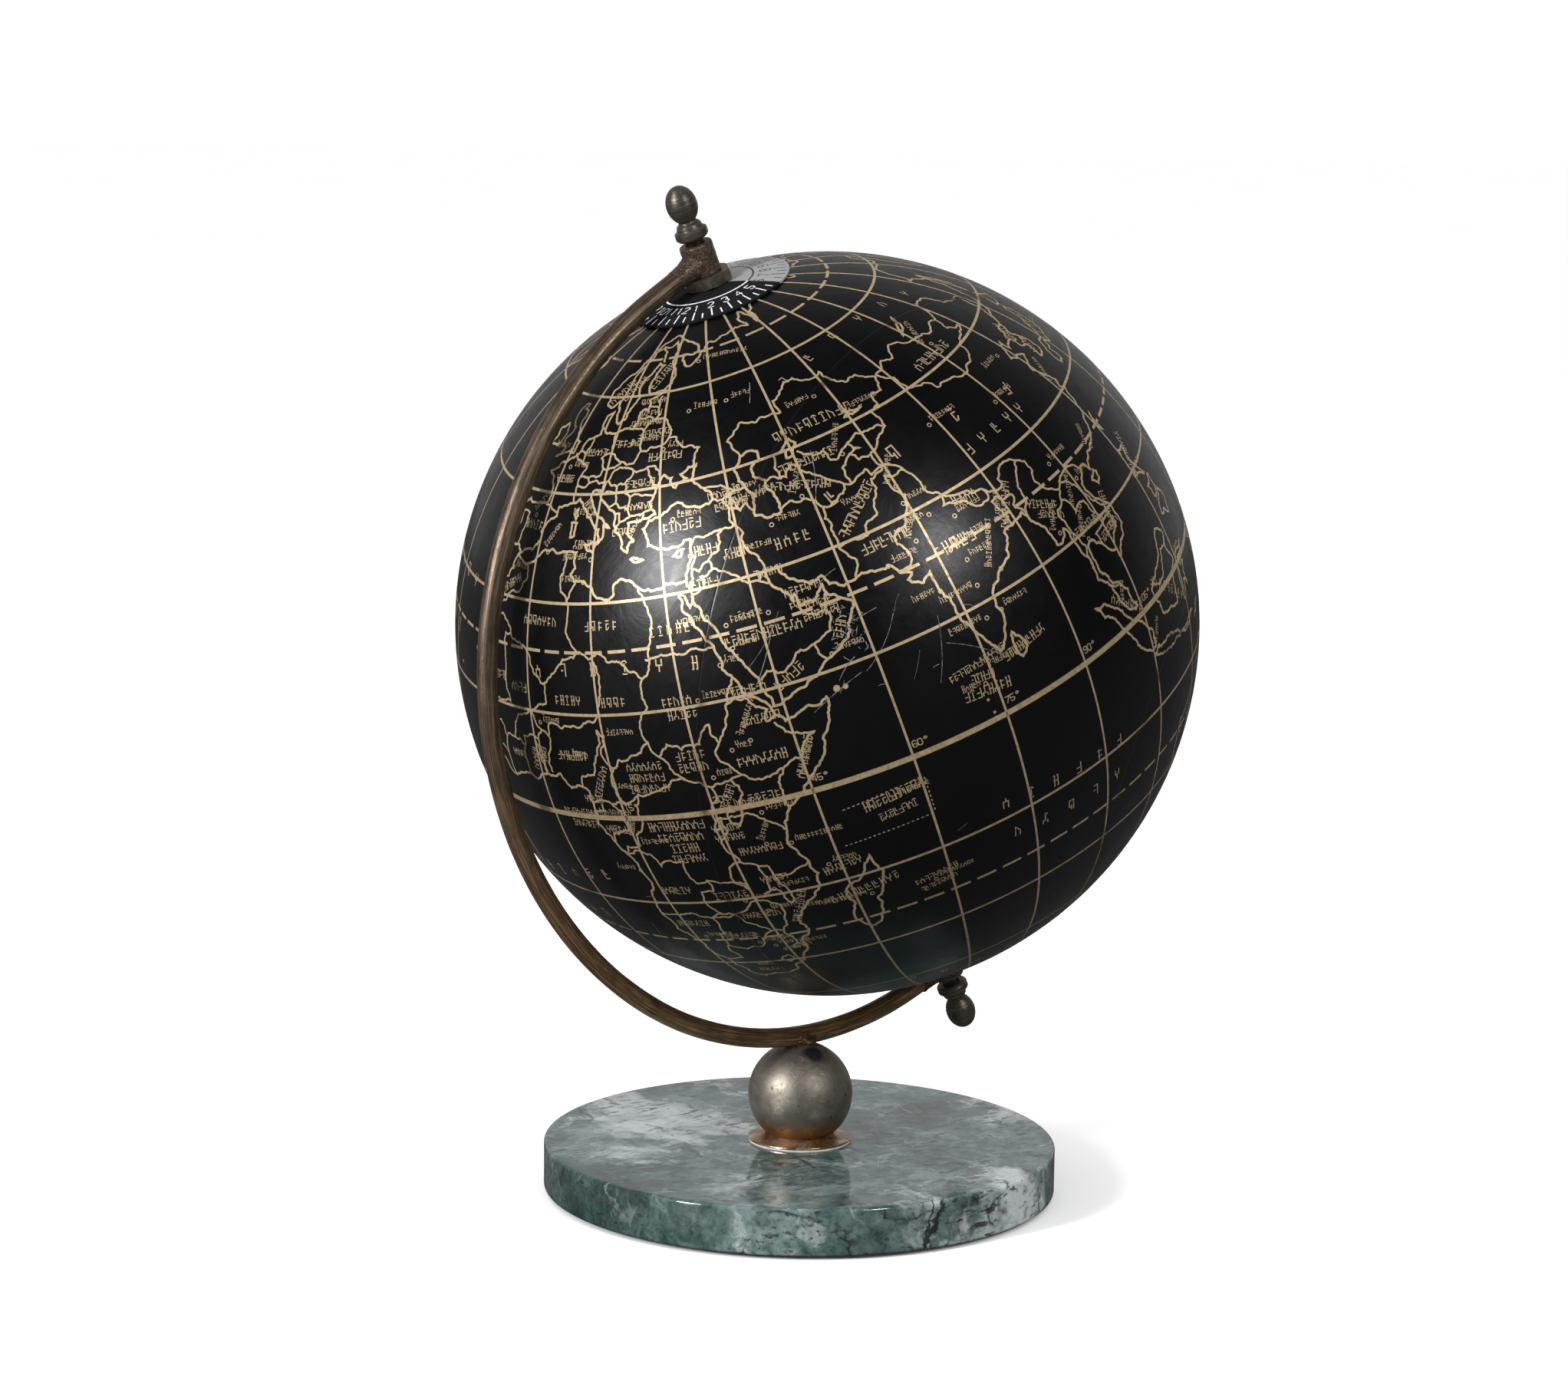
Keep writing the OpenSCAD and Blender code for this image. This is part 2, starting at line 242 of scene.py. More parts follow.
def rounded(corners, radii, steps=6):
    """The outline through corners, with each inner corner rounded to its radius."""
    out = [corners[0]]
    for before, here, after, radius in zip(corners, corners[1:], corners[2:], radii):
        a, b, c = Vector(before), Vector(here), Vector(after)
        u, v = (a - b).normalized(), (c - b).normalized()
        half = math.acos(max(-1, min(1, u.dot(v)))) / 2
        if radius <= 0 or half > math.radians(89):
            out.append(here)
            continue
        reach = min(radius / math.tan(half), (a - b).length * 0.49, (c - b).length * 0.49)
        start, end = b + u * reach, b + v * reach
        for i in range(steps + 1):
            t = i / steps
            out.append(tuple(start * (1 - t) ** 2 + b * 2 * t * (1 - t) + end * t * t))
    return out + [corners[-1]]


def lathe(name, outline, sides=96, shape=None, crease=40, closed=False):
    """Turns an outline of (radius, height) points about Z. shape(angle, radius, height) gives the new radius and height."""
    points, extra, faces = [], [], []
    run = 0.0
    rows = []
    for i, (radius, height) in enumerate(outline):
        run += math.dist(outline[i - 1], outline[i]) if i else 0
        row = []
        if radius < 1e-6:
            points.append((0, 0, height))
            extra.append((0, run, 0))
            row = [len(points) - 1] * sides
        else:
            for k in range(sides):
                angle = 2 * math.pi * k / sides
                r, h = shape(angle, radius, height) if shape else (radius, height)
                points.append((r * math.cos(angle), r * math.sin(angle), h))
                extra.append((radius * math.cos(angle), run, radius * math.sin(angle)))
                row.append(len(points) - 1)
        rows.append(row)
    if closed:
        rows.append(rows[0])
    for low, high in zip(rows, rows[1:]):
        for k in range(sides):
            n = (k + 1) % sides
            corners = [low[k], low[n], high[n], high[k]]
            face = [c for j, c in enumerate(corners) if c != corners[j - 1]]
            if len(face) > 2:
                faces.append(face)
    return mesh_of(name, points, faces, crease, extra)


def sweep(name, path, radius, sides=32, shape=None, crease=50):
    """A round bar along path, a list of points in the XZ plane. Its attribute holds the distance along and round it."""
    points, extra, faces = [], [], []
    run = 0.0
    for i, p in enumerate(path):
        p = Vector(p)
        ahead = (Vector(path[min(i + 1, len(path) - 1)]) - Vector(path[max(i - 1, 0)])).normalized()
        side = Vector((0, 1, 0))
        up = ahead.cross(side).normalized()
        run += (p - Vector(path[i - 1])).length if i else 0
        for k in range(sides):
            angle = 2 * math.pi * k / sides
            r = shape(run, angle, radius) if shape else radius
            points.append(p + (side * math.cos(angle) + up * math.sin(angle)) * r)
            extra.append((run, radius * math.cos(angle), radius * math.sin(angle)))
    for i in range(len(path) - 1):
        for k in range(sides):
            n = (k + 1) % sides
            faces.append([i * sides + k, i * sides + n, (i + 1) * sides + n, (i + 1) * sides + k])
    faces.append(list(range(sides)))
    faces.append([(len(path) - 1) * sides + k for k in range(sides)])
    return mesh_of(name, points, faces, crease, extra)


class Ribbons:
    """Thin flat lines that lie just above a ball of a given radius about the origin."""

    def __init__(self, radius):
        self.radius = radius
        self.points, self.faces = [], []

    def line(self, path, width, closed=False):
        """path is a list of directions from the centre."""
        count = len(path)
        if count < 2:
            return
        first = len(self.points)
        half = width / 2
        for i, here in enumerate(path):
            before = path[i - 1] if i or closed else None
            after = path[(i + 1) % count] if i < count - 1 or closed else None
            into = (here - before).normalized() if before else None
            out = (after - here).normalized() if after else None
            ahead = (into + out) if into and out else (into or out)
            if ahead.length < 1e-6:
                ahead = out
            ahead.normalize()
            stretch = 1.0
            if into and out:
                stretch = min(1.5, 1 / max(0.3, ahead.dot(out)))
            side = here.cross(ahead).normalized() * half * stretch
            for sign in (1, -1):
                self.points.append((here * self.radius + side * sign).normalized() * self.radius)
        for i in range(count if closed else count - 1):
            a, b = first + 2 * i, first + 2 * ((i + 1) % count)
            self.faces.append([a, a + 1, b + 1, b])

    def dot(self, at, radius, sides=10):
        a, b = tangents(at)
        first = len(self.points)
        for k in range(sides):
            t = 2 * math.pi * k / sides
            p = at * self.radius + a * radius * math.cos(t) + b * radius * math.sin(t)
            self.points.append(p.normalized() * self.radius)
        self.faces.append(list(range(first, first + sides)))

    def ring(self, at, radius, width, sides=14):
        a, b = tangents(at)
        turns = [2 * math.pi * k / sides for k in range(sides)]
        path = [(at * self.radius + (a * math.cos(t) + b * math.sin(t)) * radius).normalized() for t in turns]
        self.line(path, width, closed=True)

    def mesh(self, name):
        return mesh_of(name, self.points, self.faces)


def tangents(direction):
    """Unit vectors to the east and to the north of a direction from the centre."""
    east = Vector((0, 0, 1)).cross(direction)
    east = east.normalized() if east.length > 1e-6 else Vector((1, 0, 0))
    return east, direction.cross(east).normalized()


# ---------------------------------------------------------------- the map's lines, as longitude and latitude in whole degrees

COASTS = """
-6 36 -4 35 -2 35 0 36 3 37 5 37 8 37 10 37 11 37 10.5 35.8 11 34.8 10 34 11 33 13 33 15 32.3 16 31 18 30.4 19 30.3
 20 31 20 32.3 21.6 33 23 32.7 25 31.6 27 31.2 29 31 30.5 31.5 32.4 31.2 34.2 31.3 35 33 35.8 35.2 36 36.8 33.7 36.2
 32 36.2 30.5 36.3 28.5 36.7 27.3 37 27 38.2 26.2 39.4 27.5 40.4 29 40.7 31 41.2 33 42 35 42 37 41.2 39.5 41 41.5 41.5
 41 42.8 39 44 37.5 45 38 46 39 47.2 37 47 35 46.2 36.5 45.4 35.4 45.1 33.7 44.4 32.5 45.4 33 46 31 46.6 29.7 45.2
 28.7 44 27.7 43 28 42 29 41.2 27 40.8 26 40.8 24 40.6 22.8 40.5 22.8 39.5 24 38 23.3 37.8 22.8 36.5 21.5 37.2 21 39
 19.4 40.5 19.4 42 17.5 43 15.2 44.2 14.5 45.2 13.5 45.6 12.4 45.4 12.4 44.3 14 42.6 16 41.6 18.4 40.1 16.8 40.5 17 39
 15.8 38 16 38.7 15.7 40 14 40.8 12.2 41.8 10.3 43.6 9 44.4 7.5 43.8 5 43.4 3.1 43.1 3.2 41.8 .7 40.8 -.4 39.5 0 38.8
 -.7 37.7 -2 36.8 -4.5 36.7 -5.5 36.1 -6.3 36.6 -7 37.2 -9 37 -9.4 38.8 -8.8 41.5 -9.2 43 -8 43.7 -4 43.4 -1.4 43.5
 -1.2 45.8 -2.3 47.2 -4.5 48 -2 48.7 -1.5 49.5 .2 49.6 1.6 50.3 4 51.6 5 53.2 7 53.6 8.8 54 8.1 55.8 8.5 57 10.5 57.6
 9.8 55.5 10.5 54.2 12 54.2 14.3 54 16.5 54.5 18.5 54.7 20 54.5 21 55.4 21.2 57 22.5 57.6 24 57.1 24 58.5 23.4 59 26 59.5
 30 60 26 60.4 23 60 21.3 61.5 22.5 63.8 25 65.2 22 65.7 20 63.8 17.5 62.5 17.3 61 18.7 59.7 16.7 58 16 56.2 14 55.5
 12.5 56.5 11.3 58.5 10.5 59.3 8 58.2 5.5 59 5 61 8 63.2 10.5 64 12.5 65.3 14 66.5 15 68.3 18 69.3 21 70 25 71 28 71
 31 70 36 69.2 41 67.6 41 66.7 38 66.2 33 66.6 34.8 64.5 36.5 64 40 65 42 66.4 44 66.2 46 68 54 68.5 60 69 64 69 68.5 68.5
 66.5 71 70 73 73 71 74 68.5 76 71.5 80 72.5 88 75 98 76 105 77 113 74 122 73 128 73 130 71 140 72.5 152 71 160 69.7
 170 70 176 69.8 180 69 190 66.5 187 64.5 180 65 178 64.5 180 62.5 175 62 170 60 166 60 163 58 162 56 160 54.5 157 51
 155.7 54 156.5 57.5 160.5 60.6 163 62 160 61.8 157 61.5 155 59.3 147 59.4 141 59 136 55 139 54.2 141 53 140.5 50 138 46.5
 135 44 132 43.2 130 42 127.5 39.6 129.4 37 129.2 35.3 126.4 34.6 126.8 37.3 125 38 125 39.6 121.4 39 121.5 40.8 119 39.2
 118 38.2 121 37.7 122.5 37 120.5 36 119.3 34.9 120.5 33.5 122 31.5 121 30.5 122 29.8 121 28 119.7 26 118 24.4 115.5 22.8
 113.5 22.2 110.6 21.3 110 20.4 109.5 21.5 108 21.6 106.7 20.5 105.8 19 107 17 108.8 15.3 109.2 12 106.8 10.4 105 8.7
 105 10 103.5 10.6 102.3 12.2 101 13.4 100 13.3 99.3 11.5 99.3 9.3 100.5 7.3 102.1 6.2 103.4 4.5 104.2 1.5 103.4 1.4
 101.3 3 100.4 5.5 98.3 8.5 98.7 11 97.6 16 97 17.2 95.5 15.8 94.3 16 94 19 92.4 20.7 91.8 22.4 90.5 22 89 21.7 87 21.5
 86.5 20 83.5 17.8 82 16.6 80.2 15.5 80.2 12 79.3 10.3 77.5 8.1 76 10.5 74.8 13 73.7 16 72.8 19 72.7 22 71 21 69 22.2
 70 22.9 68.3 23.5 67.2 25 64 25.3 61.5 25.1 57.3 25.7 56.5 27.1 54.5 26.6 52.5 27.6 51 28.8 50 30.2 48 30 48.2 28.8
 50.2 26.5 51 25 51.5 26 51.6 24.3 54 24.3 56.2 26 56.5 24.5 59 23 59.8 22.4 57.7 19 55 17.2 52 15.8 48.5 14 45 12.9
 43.4 12.7 42.8 15 42.5 16.8 40.8 19.3 39 21.5 38 24 36 26.5 34.8 28.5 35 29.5 34.2 27.8 32.5 29.9 34 26.6 35.5 24
 37.2 21 37.4 19 38.5 18 39.5 15.5 41 14.6 43 12.6 43.3 11.5 44.5 10.4 47 11.1 49 11.3 51.2 11.9 51 10.4 50 8 48.5 5
 47 3.3 45.5 2.2 44 1 42.5 -.5 40.2 -2.6 39.4 -4.7 38.8 -6.3 39.5 -8 40.5 -11 40.7 -14.5 38.5 -17 36.5 -18.5 35 -20
 35.4 -23 33 -25.3 32.7 -28 30.8 -30.6 27.5 -33.3 25.6 -34 22 -34.2 20 -34.8 18.4 -34 18 -32 16.8 -29 15.2 -27 14.4 -23
 12 -18 11.8 -16 13.7 -12 13.5 -9.5 12.3 -6 11 -4 9 -1 9.6 1 9.6 4 8.5 4.6 6 4.3 4.4 6.3 1.2 6 -2 4.8 -4 5.3 -7.5 4.4
 -9.5 5.5 -13 8.5 -15 11 -16.7 12.3 -17.4 14.7 -16.2 18 -17 21 -15 25 -13 27.8 -10 29.5 -9.5 32 -7 34 -6 36
49.3 -12 50.4 -15.5 49.5 -18 48 -22 47 -25 45.2 -25.5 43.7 -23.5 43.5 -21.7 44.4 -20 44 -17 46.5 -15.8 48 -13.7 49.3 -12
-5.5 50.1 -3 50.7 1.3 51 1.7 52.7 .2 53 -1.5 55 -2 57.6 -4 57.8 -3.2 58.6 -5 58.5 -6 57 -5 55.5 -3.3 54.8 -4.5 53.3
 -5 52 -3 51.4 -5.5 50.1
-6.3 52.2 -6 54 -7.5 55.2 -10 54.2 -9.5 53 -10.3 51.8 -8 51.8 -6.3 52.2
-22.5 64 -18.5 63.4 -14 64.8 -15 66.2 -18 66 -22.5 66.4 -24 65.5 -22 64.8 -22.5 64
12.5 38 15.5 38.2 15 36.8 12.5 38
8.2 41 9.7 41 9.5 39.2 8.5 39 8.2 41
9.3 43 9.5 42 9.2 41.4 8.6 42.3 9.3 43
23.6 35.5 26.3 35.2 24.7 35 23.6 35.5
32.3 35 34.5 35.7 33.8 34.8 32.3 35
47 45 49 46.4 51.5 46.8 53 46.4 53 45 51 44.5 50.7 43 52.7 42 52.8 40.5 53.8 39 53.8 37 51 36.8 49 37.6 49.3 39.5
 50 40.4 48.5 42 47.5 43 47 45
58.5 45.5 60.5 46.5 61.5 45.5 60 44 58.5 43.9 58.5 45.5
74 46 76 46.6 79 46.5 76 45.9 74 46
104 51.6 107 52.5 109.5 55 106 53 104 51.6
79.9 8 80.3 9.7 81.3 8.5 81.8 7 80.5 6 79.9 6.8 79.9 8
95.3 5.6 97.5 5.2 100 3 103 0 105.8 -3 105.8 -5.8 104.5 -5.8 102 -4 100.3 -1 98.7 1.7 96.5 3.6 95.3 5.6
105.2 -6.8 106.5 -6 108.5 -6.6 111 -6.4 112.6 -7 114.5 -7.8 114.4 -8.6 111 -8.2 108 -7.8 106.4 -7.4 105.2 -6.8
109 1.5 111.4 2.5 113 3.2 115 5 116.8 7 119 5.3 117.8 3.5 119 1 117.5 .5 116.5 -2 116 -4 114.5 -4 112 -3.4 110.2 -2.8
 109 .2 109 1.5
119.8 0 120.8 1.3 125 1.6 123.3 .4 120.8 .5 121.5 -.9 123.3 -.9 121.8 -2 122.5 -4.5 121 -3 120.4 -5.5 119.5 -5.4
 119.3 -3 119.8 0
115 -8.3 117 -8.6 119 -8.5 122.5 -8.4 120 -9 117 -9.1 115 -8.3
123.6 -10.3 125 -8.8 127 -8.5 125.5 -9.6 123.6 -10.3
120.5 18.5 122.2 18.4 121.6 16 124 13 123 13.3 120.6 14 119.9 16.3 120.5 18.5
122 7 123.5 8.7 125.5 9.7 126.5 7.5 125.4 5.8 124 7 122 7
122 11.5 125 12.3 125 10.2 123 9.3 122 11.5
121.5 25.2 121 22 120.1 23.3 121.5 25.2
108.7 19.2 110.5 20.1 111 19.6 109.6 18.2 108.7 19.2
130 31.3 131.5 31.5 132 33.5 134 34.6 136 33.6 138 34.7 140 35.2 141 37 142 39.5 141.3 41.4 140 40.5 139.5 38.5 137 37
 135.5 35.6 132.5 35.4 131 34.3 130 33.4 130 31.3
140.2 42 143 42 145.5 43.3 142 45.5 141 43.3 140.2 42
142 46.5 143.5 49 143 54 142 53 142 49 142 46.5
131 -.8 134 -.8 135 -3.3 138 -1.7 141 -2.6 145 -4.5 147.5 -6 148 -8 150.8 -10.4 147 -9.5 144.5 -7.7 142.5 -9.2 139 -8
 138 -5.5 135.3 -4.4 133 -4 132 -2.8 134 -2.2 131 -.8
114 -22 113.5 -26 115.5 -30 115 -34.3 118 -35 123.5 -34 126 -32.3 131 -31.5 134 -32.7 135.6 -34.8 137.8 -33 138 -35.5
 140 -37.8 143.5 -38.8 146.4 -39 149.8 -37.5 151 -34 153 -31 153.3 -27 151 -23.5 148.5 -20 146 -18.5 145.3 -15 143.5 -14
 142.5 -10.8 141.6 -13.5 140.8 -17.5 139 -17.5 135.5 -15 136.8 -12.2 132.5 -11.3 130 -13 129.5 -15 126 -14 123.5 -16.5
 122 -18.2 119 -20 114 -22
145 -41 148.3 -41 147.5 -43.3 145.5 -42.8 145 -41
173 -34.5 175.5 -37 178.4 -37.8 176.5 -41.3 174 -39.3 174.8 -37.5 173 -34.5
172.7 -40.7 174.2 -41.8 171 -44.5 170.5 -46 168.3 -46.5 166.5 -45.8 170 -43 172.7 -40.7
-168 66 -162 66.5 -166.5 68.3 -156.5 71.2 -141 69.7 -135 69.2 -125 69.5 -115 68 -108 68 -98 68 -94 69.5 -94 72 -88 68.5
 -82 69 -81.5 67 -87 65 -94 61 -94.5 58.8 -92.5 57 -88 56.5 -82.3 55.2 -82 53 -79 51.5 -79 54.5 -76.5 56.5 -78 59 -78 62
 -73.5 62.3 -70 61 -69.5 58.8 -66 58.8 -64.5 60.3 -61.5 57 -57.5 54 -56 52 -60 50.2 -66 50.2 -71 47 -65 49 -65 47.5
 -61 45.8 -65.5 43.6 -67 45 -70.3 43.7 -70.7 42 -74 40.6 -75.5 38 -76 36.8 -75.6 35.3 -78 34 -81 32 -81.5 30 -80 27
 -80.5 25.3 -82 26.7 -82.8 28.8 -84.2 30 -89.5 30.2 -90 29.2 -94 29.5 -97.2 27.8 -97.6 25 -97.7 22 -96 19 -94.5 18.2
 -91.5 18.6 -90.4 20.8 -87 21.5 -87.7 18.5 -88.6 15.8 -84 15.8 -83.3 14 -83.7 11 -81.3 8.9 -79.5 9.5 -77.3 8.6 -75.5 10.7
 -71.7 12.3 -71.7 11 -68.3 11.8 -62 10.7 -60 8.5 -57 6 -52 4.9 -50 1 -48 -.7 -44.5 -2.7 -40 -2.9 -35.3 -5.2 -35 -8.5
 -37 -11.5 -39 -14 -39 -18 -41 -22 -45 -23.5 -48.6 -26 -48.7 -28.5 -50.5 -31 -53.5 -34 -56.5 -34.8 -58.3 -34 -57 -36.5
 -58 -38.3 -62.2 -39 -65 -41 -63.6 -42.5 -65.5 -45 -67.5 -46 -65.8 -48 -69 -50.5 -68.4 -52.4 -65.2 -54.7 -70 -55.5
 -74 -52.5 -75.6 -48 -74.5 -44 -73.8 -41.5 -73.5 -37 -71.5 -32 -70.5 -25 -70.2 -18.5 -76 -14 -79.5 -7.5 -81.3 -4.5
 -80 -2.5 -80.8 -1 -78.8 1.5 -77.4 4 -77.9 7.3 -79.5 8.8 -80.5 7.5 -83 8.3 -85.8 10.5 -87.6 13 -92 14.5 -95 16 -99 16.7
 -105 19.6 -105.5 22 -109.3 26 -112.8 30 -114.7 31.6 -112.5 28 -110 23.2 -112 25.5 -114.5 28 -116 30.5 -117.2 32.8
 -120.6 34.6 -124 39.5 -124 46 -123 48.5 -127.5 51 -130.5 54.5 -134 58 -139.5 59.7 -146 60.8 -151.5 59.3 -154 58.8
 -158 56.5 -164 54.7 -158 58.7 -162 59 -165 61.5 -161 64 -166.5 64.6 -168 66
-45 60 -41 63 -37 65.7 -25 69 -22 71 -20 74 -30 78 -60 77 -68 76 -57 74 -54 71.5 -51 69.5 -53.5 66.5 -50 62 -45 60
-59 47.7 -53 46.8 -53.5 49 -55.8 51.5 -59 47.7
-72 64 -65 62.5 -68 66 -62 66.5 -68 70 -78 73 -88 73 -80 70 -72 67.5 -77 65 -72 64
-115 69 -102 69 -105 73 -118 71.5 -115 69
-84.8 21.9 -80.5 23 -74.2 20.2 -77.5 19.9 -84.8 21.9
-74.4 18.5 -72.8 19.9 -68.5 18.6 -71.5 17.8 -74.4 18.5
-61 -51.8 -58 -51.5 -60 -52.2 -61 -51.8
0 -70 20 -70 40 -69 50 -67 70 -69.5 75 -70 90 -66.5 110 -66 130 -66 150 -68.5 170 -72 165 -78 180 -78 200 -78 215 -75.5
 235 -73.5 255 -73 275 -73 290 -72.5 293 -67 302 -63.5 299 -68 298 -74 315 -78 330 -76 345 -73 360 -70
"""

